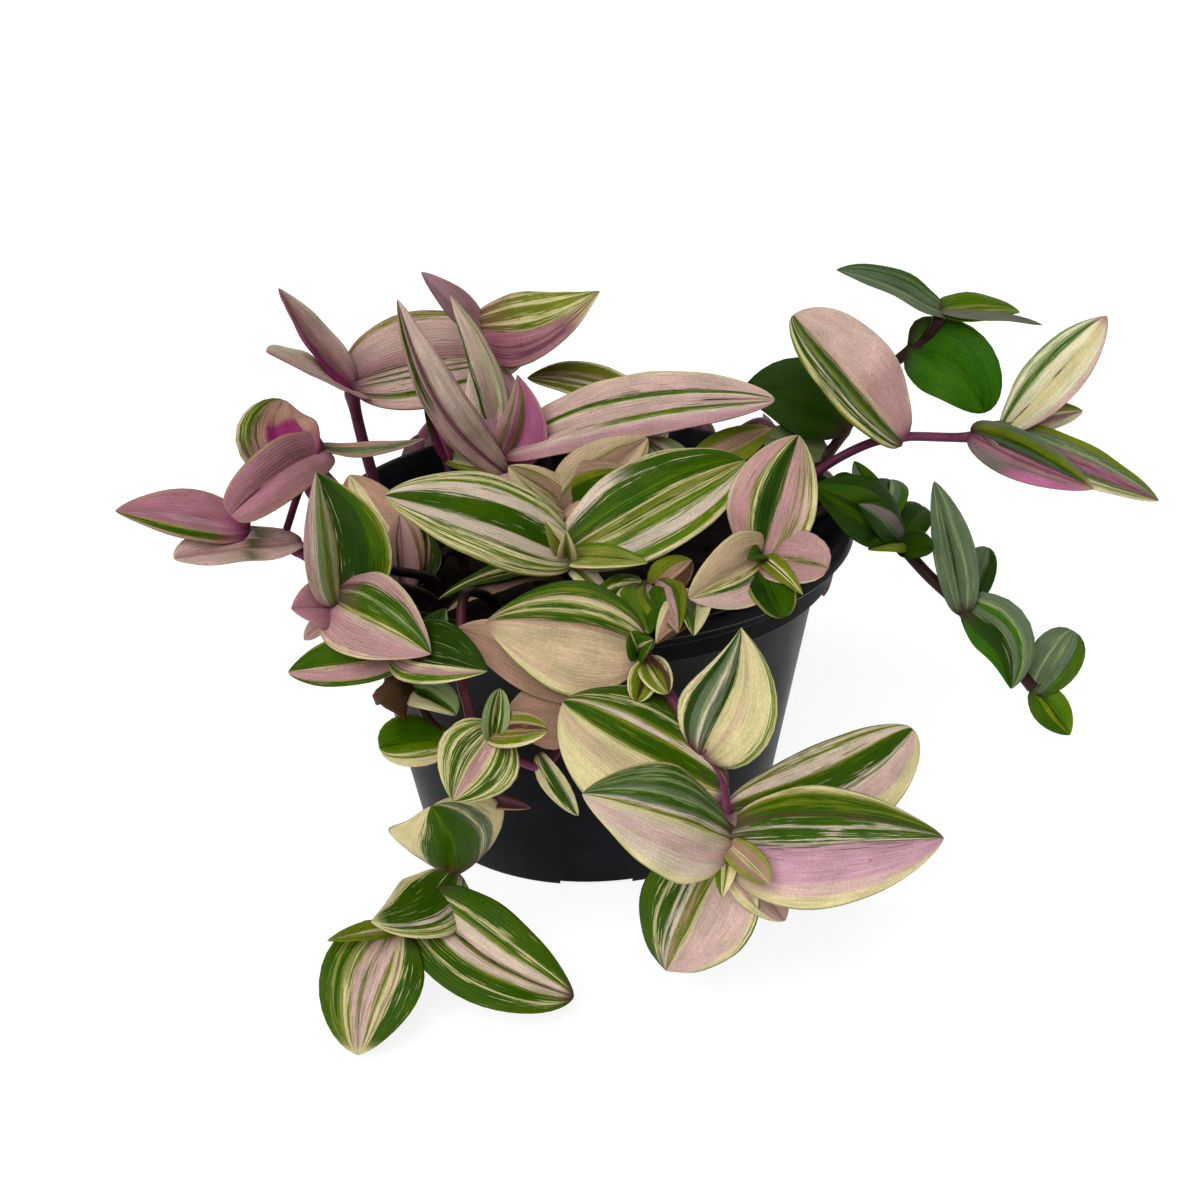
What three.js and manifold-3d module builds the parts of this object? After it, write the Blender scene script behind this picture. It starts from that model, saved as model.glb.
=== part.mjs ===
import * as THREE from "three";
import { mergeVertices } from "three/addons/utils/BufferGeometryUtils.js";
import Module from "manifold-3d";

// A potted tradescantia: a black nursery pot, its potting soil and the leafy stems that stand in it.
// Millimetres, +Z up, the origin at the middle of the pot's foot, the front towards -Y.

const wasm = await Module();
wasm.setup();

// Pot
const POT_HEIGHT = 90;
const RIM_RADIUS = 75;
const FOOT_RADIUS = 51;
const WALL_TOP_RADIUS = 65.5;
const BAND_BOTTOM = POT_HEIGHT - 14;
const BAND_RADIUS = 70;
const BAND_STEP = POT_HEIGHT - 8;
const LIP_BOTTOM = POT_HEIGHT - 5;
const WALL = 1.4;
const FLOOR_TOP = 2.6;
const POT_SIDES = 32;
const DRAIN_HOLES = 8;
const DRAIN_RADIUS = 4.5;
const DRAIN_CIRCLE = 30;
const DRAIN_SIDES = 8;
const FOOT_NOTCHES = 4;
const NOTCH_WIDTH = 20;
const NOTCH_HEIGHT = 1.6;
const BOSS_RADIUS = 15;
const FEET_INNER_RADIUS = 42;
const UNDERSIDE = 1;
const EDGE = 0.8;
const STEP_RADIUS = BAND_RADIUS + 2.4;
const LIP_EDGE = 1.3;
const LIP_THICK = 2.9;

// Soil
const GAP = 0.3;
const SOIL_TOP = 78;
const SOIL_SIDES = 20;
const SOIL_SLACK = 0.2;
const SOIL_EDGE_HEIGHT = BAND_BOTTOM - 4;
const SOIL_DOME = [[58, -2.2], [44, 0], [0, 0.8]];
const ROOT_DEPTH = 8;
const COLLAR = 6;
const HOLE_CLEARANCE = 0.6;
const HOLE_SIDES = 6;

// Leaves and stems
const BLADE = 0.8;
const STEM_SIDES = 5;
const STEM_STEP = 14;
const BRANCH_THICK = 0.8;
const BLADE_LENGTHS = [12, 28, 48];
const BUD_LENGTH = 20;
const BUD_THICK = 1.3;
const SHEATH_HALF = 1;
const TIP_HALF = 0.35;

// The front view in which the plant is laid out: a square of 1200 pixels, seen from in front and above.
// A point there is a pixel and the depth y, in millimetres, of the upright plane that it lies on.
const VIEW_PIXELS = 1200;
const VIEW_DISTANCE = 600;
const VIEW_ELEVATION = THREE.MathUtils.degToRad(27);
const VIEW_ROLL = THREE.MathUtils.degToRad(-1.6);
const VIEW_FOCAL_PIXELS = 2071;
const VIEW_TARGET = new THREE.Vector3(3.5, 0, 63.3);
const VIEW_HEIGHT = POT_HEIGHT / 2 + VIEW_DISTANCE * Math.sin(VIEW_ELEVATION);
const VIEW_EYE = new THREE.Vector3(0, -VIEW_DISTANCE * Math.cos(VIEW_ELEVATION), VIEW_HEIGHT);
const UP = new THREE.Vector3(0, 0, 1);
const ahead = VIEW_TARGET.clone().sub(VIEW_EYE).normalize();
const rightward = ahead.clone().cross(UP).normalize();
const upward = rightward.clone().cross(ahead);

function seen([across, down, depth]) {
  const x = across - VIEW_PIXELS / 2;
  const y = down - VIEW_PIXELS / 2;
  const level = Math.cos(VIEW_ROLL) * x + Math.sin(VIEW_ROLL) * y;
  const drop = Math.cos(VIEW_ROLL) * y - Math.sin(VIEW_ROLL) * x;
  const ray = ahead
    .clone()
    .addScaledVector(rightward, level / VIEW_FOCAL_PIXELS)
    .addScaledVector(upward, -drop / VIEW_FOCAL_PIXELS);
  return VIEW_EYE.clone().addScaledVector(ray, (depth - VIEW_EYE.y) / ray.y);
}

// Solids: a closed three.js geometry becomes a solid that can be joined and cut, and back.
function solid(geometry) {
  const bare = geometry.index ? geometry.toNonIndexed() : geometry.clone();
  bare.deleteAttribute("normal");
  bare.deleteAttribute("uv");
  const merged = mergeVertices(bare, 1e-4);
  return new wasm.Manifold(
    new wasm.Mesh({
      numProp: 3,
      vertProperties: new Float32Array(merged.attributes.position.array),
      triVerts: new Uint32Array(merged.index.array),
    }),
  );
}

function geometryOf(body) {
  const made = body.getMesh();
  const geometry = new THREE.BufferGeometry();
  geometry.setAttribute("position", new THREE.BufferAttribute(new Float32Array(made.vertProperties), 3));
  geometry.setIndex(new THREE.BufferAttribute(new Uint32Array(made.triVerts), 1));
  geometry.computeVertexNormals();
  return geometry;
}

function turned(profile, sides) {
  const points = profile.map(([radius, height]) => new THREE.Vector2(radius, height));
  return new THREE.LatheGeometry(points, sides).rotateX(Math.PI / 2);
}

function upright(radius, bottom, top, sides) {
  const cylinder = new THREE.CylinderGeometry(radius, radius, top - bottom, sides);
  return cylinder.rotateX(Math.PI / 2).translate(0, 0, (top + bottom) / 2);
}

// Pot: a moulded shell with a stepped band under a rolled lip, feet and drain holes.
function wallRadius(height) {
  return FOOT_RADIUS + ((WALL_TOP_RADIUS - FOOT_RADIUS) * height) / BAND_BOTTOM;
}

function makePot() {
  const profile = [
    [0, 0],
    [BOSS_RADIUS, 0],
    [BOSS_RADIUS + EDGE, UNDERSIDE],
    [FEET_INNER_RADIUS - EDGE, UNDERSIDE],
    [FEET_INNER_RADIUS, 0],
    [FOOT_RADIUS - EDGE, 0],
    [FOOT_RADIUS, EDGE],
    [WALL_TOP_RADIUS, BAND_BOTTOM],
    [BAND_RADIUS, BAND_BOTTOM + EDGE],
    [BAND_RADIUS, BAND_STEP],
    [STEP_RADIUS, BAND_STEP + EDGE],
    [STEP_RADIUS, LIP_BOTTOM],
    [RIM_RADIUS, LIP_BOTTOM + EDGE],
    [RIM_RADIUS, POT_HEIGHT - LIP_EDGE],
    [RIM_RADIUS - LIP_EDGE, POT_HEIGHT],
    [RIM_RADIUS - LIP_THICK, POT_HEIGHT - EDGE],
    [BAND_RADIUS - WALL, BAND_STEP],
    [wallRadius(BAND_BOTTOM - EDGE) - WALL, BAND_BOTTOM - EDGE],
    [wallRadius(FLOOR_TOP) - WALL, FLOOR_TOP],
    [0, FLOOR_TOP],
  ];
  let pot = solid(turned(profile, POT_SIDES));
  for (let i = 0; i < DRAIN_HOLES; i += 1) {
    const angle = ((i + 0.5) / DRAIN_HOLES) * 2 * Math.PI;
    const drill = upright(DRAIN_RADIUS, -UNDERSIDE, FLOOR_TOP + UNDERSIDE, DRAIN_SIDES);
    drill.translate(DRAIN_CIRCLE * Math.cos(angle), DRAIN_CIRCLE * Math.sin(angle), 0);
    pot = pot.subtract(solid(drill));
  }
  for (let i = 0; i < FOOT_NOTCHES; i += 1) {
    const notch = new THREE.BoxGeometry(NOTCH_WIDTH, FOOT_RADIUS, NOTCH_HEIGHT * 2);
    notch.translate(0, -FEET_INNER_RADIUS - FOOT_RADIUS / 2 - WALL, 0);
    notch.rotateZ((i * 2 * Math.PI) / FOOT_NOTCHES);
    pot = pot.subtract(solid(notch));
  }
  return pot;
}

// Soil: it fills the pot, is a little domed, and has a plain hole for each stem. The dome is given by
// radius and height over SOIL_TOP.
function makeSoil(stems) {
  const shrink = WALL + GAP + SOIL_SLACK;
  const bottom = FLOOR_TOP + GAP;
  const side = [
    [0, bottom],
    [wallRadius(FLOOR_TOP) - shrink, bottom],
    [wallRadius(SOIL_EDGE_HEIGHT) - shrink, SOIL_EDGE_HEIGHT],
  ];
  const dome = SOIL_DOME.map(([radius, lift]) => [radius, SOIL_TOP + lift]);
  let soil = solid(turned([...side, ...dome], SOIL_SIDES));
  for (const { foot, thick } of stems) {
    const deepest = SOIL_TOP - ROOT_DEPTH - GAP;
    const hole = upright(thick / 2 + HOLE_CLEARANCE, deepest, SOIL_TOP + COLLAR, HOLE_SIDES);
    hole.translate(foot[0], foot[1], 0);
    soil = soil.subtract(solid(hole));
  }
  return soil;
}

// Stem: a round shoot along a smooth line, which leaves the soil upright.
function smoothLine(points) {
  return new THREE.CatmullRomCurve3(points, false, "centripetal");
}

function stemLine(stem) {
  const [x, y] = stem.foot;
  const below = [SOIL_TOP - ROOT_DEPTH, SOIL_TOP - ROOT_DEPTH / 2, SOIL_TOP, SOIL_TOP + COLLAR];
  const points = below.map((z) => new THREE.Vector3(x, y, z));
  for (const place of stem.rise ?? []) points.push(new THREE.Vector3(...place));
  for (const place of stem.path ?? []) points.push(seen(place));
  return smoothLine(points);
}

function branchLine(branch, axis) {
  const points = branch.map(seen);
  points.unshift(nearestOn([axis], points[0]));
  return smoothLine(points);
}

function stepsOf(line) {
  return Math.max(3, Math.round(line.getLength() / STEM_STEP));
}

function axisOf(line) {
  return line.getSpacedPoints(stepsOf(line));
}

function shoot(line, thick) {
  const outline = new THREE.Shape();
  for (let i = 0; i < STEM_SIDES; i += 1) {
    const angle = (i / STEM_SIDES) * 2 * Math.PI;
    const corner = [(thick / 2) * Math.cos(angle), (thick / 2) * Math.sin(angle)];
    if (i === 0) outline.moveTo(...corner);
    else outline.lineTo(...corner);
  }
  outline.closePath();
  const along = { steps: stepsOf(line), bevelEnabled: false, extrudePath: line };
  return new THREE.ExtrudeGeometry(outline, along);
}

// The point of the stems' middle lines that lies nearest to a place.
function nearestOn(axes, place) {
  let nearest = place;
  let least = Infinity;
  for (const axis of axes) {
    for (let i = 0; i + 1 < axis.length; i += 1) {
      const point = new THREE.Vector3();
      new THREE.Line3(axis[i], axis[i + 1]).closestPointToPoint(place, true, point);
      const gap = point.distanceTo(place);
      if (gap < least) [nearest, least] = [point, gap];
    }
  }
  return nearest;
}

// Leaf: a thin blade from its base on the stem to its tip. width is across the flat blade, fold lifts
// each half, curl bends it on towards the margin, bow arches the midrib and sway bends it sideways, as
// parts of the length; the face looks towards the viewer (sky 0) or the sky (sky 1), or else towards
// toward; roll and twist turn it round the midrib, in degrees; heel and point shape the outline at the
// base and at the tip.
const PLAIN_LEAF = {
  fold: 18, curl: 0, bow: 0.08, sway: 0, sky: 0.4,
  roll: 0, twist: 0, heel: 0.5, point: 0.8,
};

function leafFrame(leaf) {
  const along = leaf.tip.clone().sub(leaf.base);
  const length = along.length();
  along.divideScalar(length);
  const toward = leaf.toward ?? VIEW_EYE.clone().sub(leaf.base);
  const face = toward.clone().normalize().multiplyScalar(1 - leaf.sky).addScaledVector(UP, leaf.sky);
  face.addScaledVector(along, -face.dot(along)).normalize();
  return { along, length, face };
}

function halfWidth(leaf, t) {
  const widest = leaf.heel / (leaf.heel + leaf.point);
  const most = widest ** leaf.heel * (1 - widest) ** leaf.point;
  return ((leaf.width / 2) * t ** leaf.heel * (1 - t) ** leaf.point) / most;
}

// The blade's cross-section at t: left margin, midrib and right margin on the upper face, then the lower.
function bladeLoop(leaf, frame, t) {
  const rise = 4 * t * (1 - t);
  const slope = 4 * (1 - 2 * t);
  const flat = frame.along.clone().cross(frame.face);
  const spine = leaf.base
    .clone()
    .lerp(leaf.tip, t)
    .addScaledVector(frame.face, frame.length * leaf.bow * rise)
    .addScaledVector(flat, frame.length * leaf.sway * rise);
  const along = frame.along.clone();
  along.addScaledVector(frame.face, leaf.bow * slope).addScaledVector(flat, leaf.sway * slope).normalize();
  const turn = THREE.MathUtils.degToRad(leaf.roll + leaf.twist * (t - 0.5));
  const normal = frame.face.clone().addScaledVector(along, -frame.face.dot(along)).normalize();
  normal.applyAxisAngle(along, turn);
  const side = along.clone().cross(normal);
  const half = Math.max(halfWidth(leaf, t), t < 0.5 ? SHEATH_HALF : TIP_HALF);
  const lift = THREE.MathUtils.degToRad(leaf.fold + leaf.curl / 2);
  const point = (hand, level) => {
    const bent = hand === 0 ? 0 : lift;
    const thick = level / 2 / (hand === 0 ? Math.max(Math.cos(lift), 0.5) : 1);
    return spine
      .clone()
      .addScaledVector(side, hand * half * Math.cos(lift) - hand * Math.sin(bent) * thick)
      .addScaledVector(normal, Math.abs(hand) * half * Math.sin(lift) + Math.cos(bent) * thick);
  };
  if (frame.length < BUD_LENGTH) {
    return [point(-1, 0), point(0, BUD_THICK), point(1, 0), point(0, -BUD_THICK)];
  }
  const upper = [point(-1, BLADE), point(0, BLADE), point(1, BLADE)];
  return [...upper, point(1, -BLADE), point(0, -BLADE), point(-1, -BLADE)];
}

function bladeSteps(length) {
  return 2 + BLADE_LENGTHS.filter((limit) => length > limit).length;
}

function blade(leaf) {
  const frame = leafFrame(leaf);
  const steps = bladeSteps(frame.length);
  const corners = [];
  for (let i = 0; i <= steps; i += 1) {
    corners.push(...bladeLoop(leaf, frame, (1 - Math.cos((Math.PI * i) / steps)) / 2));
  }
  const sides = corners.length / (steps + 1);
  const caps = sides === 4 ? [[0, 1, 3], [1, 2, 3]] : [[0, 1, 5], [1, 4, 5], [1, 2, 4], [2, 3, 4]];
  const faces = [];
  for (let i = 0; i < steps; i += 1) {
    for (let k = 0; k < sides; k += 1) {
      const a = i * sides + k;
      const b = i * sides + ((k + 1) % sides);
      const [c, d] = [b + sides, a + sides];
      if ((k * 2) % sides === 0) faces.push(a, b, c, a, c, d);
      else faces.push(a, b, d, b, c, d);
    }
  }
  const end = steps * sides;
  for (const [p, q, r] of caps) faces.push(p, r, q, end + p, end + q, end + r);
  const geometry = new THREE.BufferGeometry().setFromPoints(corners);
  geometry.setIndex(faces);
  return geometry;
}

function placed(place) {
  return Array.isArray(place) ? seen(place) : place;
}

function makeLeafyStem(stem) {
  const trunk = stemLine(stem);
  const axes = [axisOf(trunk)];
  let body = solid(shoot(trunk, stem.thick));
  for (const branch of stem.branches ?? []) {
    const line = branchLine(branch, axes[0]);
    axes.push(axisOf(line));
    body = body.add(solid(shoot(line, stem.thick * BRANCH_THICK)));
  }
  for (const entry of stem.leaves) {
    const leaf = { ...PLAIN_LEAF, ...entry, tip: placed(entry.tip) };
    leaf.base = nearestOn(axes, placed(entry.base));
    body = body.add(solid(blade(leaf)));
  }
  return body;
}

const PINK = 0xb98a94;
const GREEN = 0x4f7a2c;
const DARK_GREEN = 0x2f5a25;
const CREAM = 0xc9c48e;

// The stems that show in the front view. foot is where each stands in the soil, rise its next points in
// millimetres, path its points in the front view, and base and tip are a leaf's ends there.
const FRONT_STEMS = [
  {
    name: "stem_upper_left",
    color: PINK,
    thick: 3.4,
    foot: [-50, 17],
    path: [[385, 515, 21], [371, 470, 24], [360, 430, 25], [350, 385, 26]],
    leaves: [
      {
        base: [349, 375, 26], tip: [278, 288, 8], width: 15, fold: 42, sky: 0.2,
        roll: 30, bow: -0.05, sway: -0.05,
      },
      {
        base: [351, 394, 26], tip: [266, 351, 2], width: 22, fold: 14, sky: 0.7,
        bow: 0.02, point: 0.5, sway: -0.12,
      },
      {
        base: [350, 380, 26], tip: [524, 362, 50], width: 30, fold: 14,
        sky: 0.2, bow: 0.06, sway: -0.06,
      },
    ],
  },
  {
    name: "stem_left",
    color: PINK,
    thick: 2.6,
    foot: [-52, -10],
    rise: [[-62, -17, 92], [-69, -21, 96]],
    path: [[312, 558, -26], [298, 551, -27], [276, 544, -27], [243, 531, -28]],
    branches: [[[288, 525, -22], [302, 484, -14], [320, 452, -6]]],
    leaves: [
      {
        base: [243, 530, -28], tip: [115, 511, -40], width: 16, fold: 24,
        sky: 0.5, roll: -14, bow: 0.05,
      },
      {
        base: [298, 550, -26], tip: [174, 559, -44], width: 17, fold: 14,
        sky: 0.7, point: 0.5, bow: 0.03,
      },
      {
        base: [333, 458, -8], tip: [230, 516, -38], width: 17, fold: 20, sky: 0.1, bow: 0.14,
        sway: 0.03, heel: 0.3, point: 0.3,
      },
      {
        base: [306, 474, -12], tip: [284, 400, 6], width: 25, fold: 24, sky: 0.1,
        sway: -0.2, heel: 0.4, point: 0.7,
      },
      {
        base: [312, 462, -9], tip: [338, 504, -24], width: 13, fold: 35,
        sky: 0.1, roll: 160, point: 0.5,
      },
      { base: [318, 446, -6], tip: [426, 438, 8], width: 9, fold: 20, sky: 0.8, bow: -0.08, point: 1 },
    ],
  },
  {
    name: "stem_front_left",
    color: GREEN,
    thick: 2.6,
    foot: [-40, -30],
    rise: [[-52, -40, 93], [-58, -45, 97]],
    path: [[346, 602, -54], [330, 616, -58]],
    leaves: [
      {
        base: [343, 603, -54], tip: [316, 472, -42], width: 29, fold: 32, sky: 0,
        roll: 22, sway: 0.05, point: 1,
      },
      { base: [343, 608, -55], tip: [431, 654, -80], width: 24, fold: 14, sky: 0.15 },
      { base: [336, 611, -56], tip: [291, 609, -66], width: 14, fold: 10, sky: 0.3 },
      { base: [330, 616, -58], tip: [304, 640, -58], width: 5, sky: 0.2 },
    ],
  },
  {
    name: "stem_inner_left",
    color: PINK,
    thick: 2.4,
    foot: [-34, -14],
    rise: [[-38, -18, 88]],
    path: [[424, 588, -23], [406, 586, -28]],
    leaves: [
      { base: [405, 586, -30], tip: [400, 514, -24], width: 13, fold: 40, sky: 0, roll: -10 },
      { base: [408, 586, -29], tip: [349, 475, -8], width: 22, fold: 12, sky: 0 },
      { base: [420, 588, -26], tip: [426, 532, -16], width: 12, fold: 12, sky: 0 },
    ],
  },
  {
    name: "stem_left_low",
    color: DARK_GREEN,
    thick: 2.2,
    foot: [-40, -42],
    rise: [[-47, -51, 93], [-51, -57, 96]],
    path: [[402, 650, -67], [410, 680, -70], [424, 712, -71], [450, 744, -73]],
    leaves: [
      {
        base: [401, 656, -67], tip: [288, 672, -64], width: 15, sway: -0.05,
        fold: 16, sky: 0.5, roll: -10,
      },
      { base: [402, 652, -67], tip: [488, 671, -88], width: 19, fold: 14, sky: 0.25 },
      { base: [410, 672, -68], tip: [446, 608, -64], width: 11, fold: 10, sky: 0.1 },
      {
        base: [412, 690, -70], tip: [380, 704, -84], width: 14, fold: -30,
        sky: 0.2, twist: 90, point: 0.4,
      },
      {
        base: [412, 690, -70], tip: [456, 716, -82], width: 12, fold: 35,
        sky: 0.2, twist: -60, point: 0.5,
      },
      { base: [448, 742, -73], tip: [379, 748, -82], width: 15, fold: 8, sky: 0.4, point: 0.4 },
    ],
  },
  {
    name: "stem_centre_front",
    color: GREEN,
    thick: 2.8,
    foot: [-3, -24],
    rise: [[-4, -34, 88]],
    path: [[566, 574, -42], [567, 557, -46]],
    leaves: [
      {
        base: [568, 557, -46], tip: [745, 461, -28], width: 28, fold: 12, sky: 0.35,
        heel: 0.55, point: 0.7, sway: 0.02,
      },
      {
        base: [560, 560, -46], tip: [384, 496, -58], width: 26, fold: 12,
        sky: 0.4, heel: 0.55, point: 0.75,
      },
      { base: [562, 560, -46], tip: [545, 521, -50], width: 7, fold: 35, sky: 0.1 },
      { base: [566, 560, -46], tip: [566, 530, -54], width: 7, fold: 40, sky: 0.1 },
      { base: [571, 565, -46], tip: [648, 563, -62], width: 8, fold: 15, sky: 0.3 },
      { base: [571, 572, -46], tip: [614, 606, -54], width: 7, fold: 30, sky: 0.2 },
      { base: [566, 580, -40], tip: [438, 600, -40], width: 12, fold: 14, sky: 1 },
      { base: [566, 586, -38], tip: [446, 612, -44], width: 13, fold: 14, sky: 1 },
    ],
  },
  {
    name: "stem_centre",
    color: CREAM,
    thick: 2.6,
    foot: [2, 6],
    path: [[560, 510, -8]],
    branches: [
      [[620, 498, -4], [690, 472, 0]],
      [[590, 480, 6], [640, 440, 18], [632, 398, 28]],
    ],
    leaves: [
      { base: [560, 520, -6], tip: [640, 474, -12], width: 22, fold: 14, sky: 0.1 },
      { base: [560, 512, -6], tip: [648, 438, -6], width: 22, fold: 14, sky: 0.1 },
      { base: [560, 512, -6], tip: [508, 466, -8], width: 14, fold: 14, sky: 0.1 },
      { base: [690, 472, 0], tip: [642, 438, 6], width: 10, fold: 20, sky: 0.1 },
      { base: [690, 472, 0], tip: [772, 428, 8], width: 12, fold: 16, sky: 0.2 },
      { base: [632, 398, 28], tip: [527, 378, 36], width: 14, fold: 20, sky: 0.5 },
      { base: [632, 398, 28], tip: [744, 386, 30], width: 9, fold: 20, sky: 0.6 },
    ],
  },
  {
    name: "stem_upper_centre",
    color: PINK,
    thick: 3,
    foot: [-22, 22],
    path: [[506, 478, 20], [507, 452, 20]],
    branches: [[[498, 430, 26], [490, 380, 31], [480, 328, 34]]],
    leaves: [
      {
        base: [506, 470, 20], tip: [397, 299, 0], width: 14, fold: 22, sky: 0.05,
        roll: 18, heel: 0.7, sway: -0.08,
      },
      { base: [498, 430, 26], tip: [450, 295, 20], width: 13, fold: 45, sky: 0, roll: -20, sway: 0.08 },
      { base: [506, 465, 20], tip: [482, 346, 30], width: 19, fold: 14, sky: 0 },
      {
        base: [507, 455, 20], tip: [517, 374, 14], width: 17, fold: 22, sky: 0,
        roll: -6, sway: 0.14, point: 1,
      },
      {
        base: [507, 455, 20], tip: [775, 400, -4], width: 20, fold: 12, sky: 0.3,
        sway: -0.04, twist: 20, point: 0.62,
      },
      { base: [482, 338, 33], tip: [421, 272, 20], width: 11, fold: 35, sky: 0.2, roll: 150 },
      {
        base: [480, 328, 34], tip: [600, 291, 24], width: 22, fold: 14,
        sky: 0.3, sway: 0.16, twist: -50,
      },
    ],
  },
  {
    name: "stem_back_left",
    color: PINK,
    thick: 2.2,
    foot: [-39, 38],
    path: [[448, 466, 42], [447, 456, 43]],
    leaves: [
      { base: [447, 459, 43], tip: [424, 405, 40], width: 6, fold: 40, sky: 0 },
      { base: [448, 456, 43], tip: [482, 402, 52], width: 17, fold: 10, sky: 0.1 },
      { base: [448, 462, 42], tip: [500, 474, 34], width: 6, fold: 20, sky: 0.4 },
    ],
  },
  {
    name: "stem_upper_right",
    color: DARK_GREEN,
    thick: 3,
    foot: [52, 26],
    path: [[826, 455, 27], [848, 425, 28], [884, 372, 26], [926, 338, 22], [942, 314, 20]],
    leaves: [
      { base: [844, 430, 28], tip: [741, 394, 34], width: 24, fold: 10, sky: 0.25, sway: 0.14 },
      { base: [826, 455, 27], tip: [757, 434, 30], width: 12, fold: 10, sky: 0.2, roll: 180 },
      {
        base: [904, 344, 24], tip: [985, 413, 8], width: 23, fold: 10, sky: 0.1,
        heel: 0.3, point: 0.5, sway: -0.16,
      },
      { base: [940, 316, 20], tip: [836, 270, 14], width: 13, fold: 14, sky: 0.6 },
      { base: [942, 314, 20], tip: [1043, 325, 10], width: 11, fold: 14, sky: 0.8, roll: 160 },
      { base: [942, 314, 20], tip: [1020, 312, 30], width: 11, fold: 10, sky: 0.5, heel: 0.3 },
    ],
  },
  {
    name: "stem_right",
    color: PINK,
    thick: 2.6,
    foot: [46, 6],
    path: [[800, 492, 3], [820, 470, 2], [868, 444, 2], [900, 437, 3], [970, 437, 3], [1005, 431, 3]],
    leaves: [
      {
        base: [898, 437, 3], tip: [793, 315, 8], width: 28, fold: 28, sky: 0.1,
        roll: 24, heel: 0.6, point: 0.55,
      },
      {
        base: [1003, 431, 3], tip: [1107, 316, 4], width: 17, fold: 18, sky: 0.1,
        roll: -10, heel: 0.8, sway: 0.02,
      },
      { base: [985, 436, 3], tip: [1159, 501, -6], width: 17, fold: 36, sky: 0.4, bow: 0.05, sway: 0.03 },
      { base: [976, 437, 3], tip: [1094, 489, -18], width: 17, fold: 36, sky: 0.2, roll: 20 },
      { base: [1003, 431, 3], tip: [1083, 411, 12], width: 10, fold: 20, sky: 0.3 },
    ],
  },
  {
    name: "stem_right_trailing",
    color: DARK_GREEN,
    thick: 3.4,
    foot: [55, -10],
    rise: [[66, -10, 93], [74, -11, 98]],
    path: [[900, 544, -13], [928, 575, -15], [960, 605, -17], [988, 637, -19], [1036, 690, -23]],
    leaves: [
      { base: [872, 536, -12], tip: [812, 486, -26], width: 19, fold: 12, sky: 0.2 },
      { base: [868, 505, -10], tip: [828, 484, 2], width: 11, fold: 12, sky: 0.1, point: 0.5 },
      { base: [890, 530, -12], tip: [854, 461, 4], width: 9, fold: 20, sky: 0.1 },
      { base: [880, 524, -12], tip: [890, 480, 6], width: 12, fold: 12, sky: 0.1, point: 0.5 },
      { base: [905, 536, -13], tip: [922, 506, 0], width: 11, fold: 12, sky: 0.1, point: 0.5 },
      { base: [905, 534, -13], tip: [858, 504, -24], width: 11, fold: 15, sky: 0.3 },
      { base: [900, 545, -13], tip: [868, 550, -28], width: 9, fold: 15, sky: 0.3 },
      { base: [900, 545, -13], tip: [934, 550, -24], width: 9, fold: 15, sky: 0.2, point: 0.5 },
      { base: [963, 606, -17], tip: [934, 481, -8], width: 14, fold: 30, sky: 0, roll: 10, sway: 0.02 },
      { base: [966, 606, -17], tip: [987, 547, -4], width: 11, fold: 12, sky: 0.1, point: 0.55 },
      { base: [974, 602, -18], tip: [1011, 689, -32], width: 17, fold: 12, sky: 0.1, sway: -0.22 },
      { base: [1038, 690, -23], tip: [1074, 631, -18], width: 15, fold: 10, sky: 0.1, point: 0.45 },
      { base: [1038, 690, -23], tip: [1070, 735, -30], width: 11, fold: 15, sky: 0.1 },
      { base: [962, 620, -17], tip: [980, 637, -24], width: 6, sky: 0.2 },
    ],
  },
  {
    name: "stem_front_right",
    color: PINK,
    thick: 2.6,
    foot: [33, -28],
    rise: [[38, -38, 88]],
    path: [[764, 566, -50], [762, 556, -52]],
    leaves: [
      {
        base: [763, 556, -52], tip: [799, 435, -44], width: 24, fold: 12, sky: 0.05,
        roll: -10, sway: -0.03, heel: 0.6,
      },
      {
        base: [763, 562, -52], tip: [688, 598, -70], width: 21, fold: 24,
        sky: 0.1, roll: -20, point: 0.7,
      },
      { base: [763, 562, -52], tip: [829, 568, -66], width: 16, fold: 14, sky: 0.3, point: 0.4 },
      { base: [764, 564, -52], tip: [803, 595, -72], width: 6, fold: 25, sky: 0.3 },
      { base: [763, 558, -52], tip: [747, 560, -62], width: 6, fold: 30, sky: 0.2 },
      { base: [764, 566, -50], tip: [784, 618, -74], width: 12, fold: 10, sky: 0.3, point: 0.4 },
    ],
  },
  {
    name: "stem_front_middle",
    color: GREEN,
    thick: 2.2,
    foot: [12, -36],
    path: [[632, 592, -53], [655, 588, -57], [698, 600, -58]],
    leaves: [
      { base: [630, 592, -54], tip: [650, 634, -80], width: 14, fold: 10, sky: 0.2 },
      { base: [630, 594, -54], tip: [590, 604, -60], width: 10, fold: 14, sky: 0.4 },
      { base: [655, 588, -58], tip: [678, 633, -80], width: 14, fold: 14, sky: 0.2 },
      { base: [655, 588, -58], tip: [692, 560, -50], width: 11, fold: 14, sky: 0.3 },
      { base: [694, 598, -59], tip: [656, 644, -84], width: 10, fold: 10, sky: 0.2 },
      { base: [696, 600, -60], tip: [694, 636, -82], width: 9, fold: 14, sky: 0.2 },
    ],
  },
  {
    name: "stem_front_arching",
    color: PINK,
    thick: 2.8,
    foot: [0, -50],
    rise: [[-1, -61, 95], [1, -72, 98]],
    path: [[638, 645, -82], [662, 684, -89], [695, 735, -97], [722, 790, -105], [729, 846, -113]],
    leaves: [
      {
        base: [634, 660, -83], tip: [485, 623, -84], width: 32, fold: -24,
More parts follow.
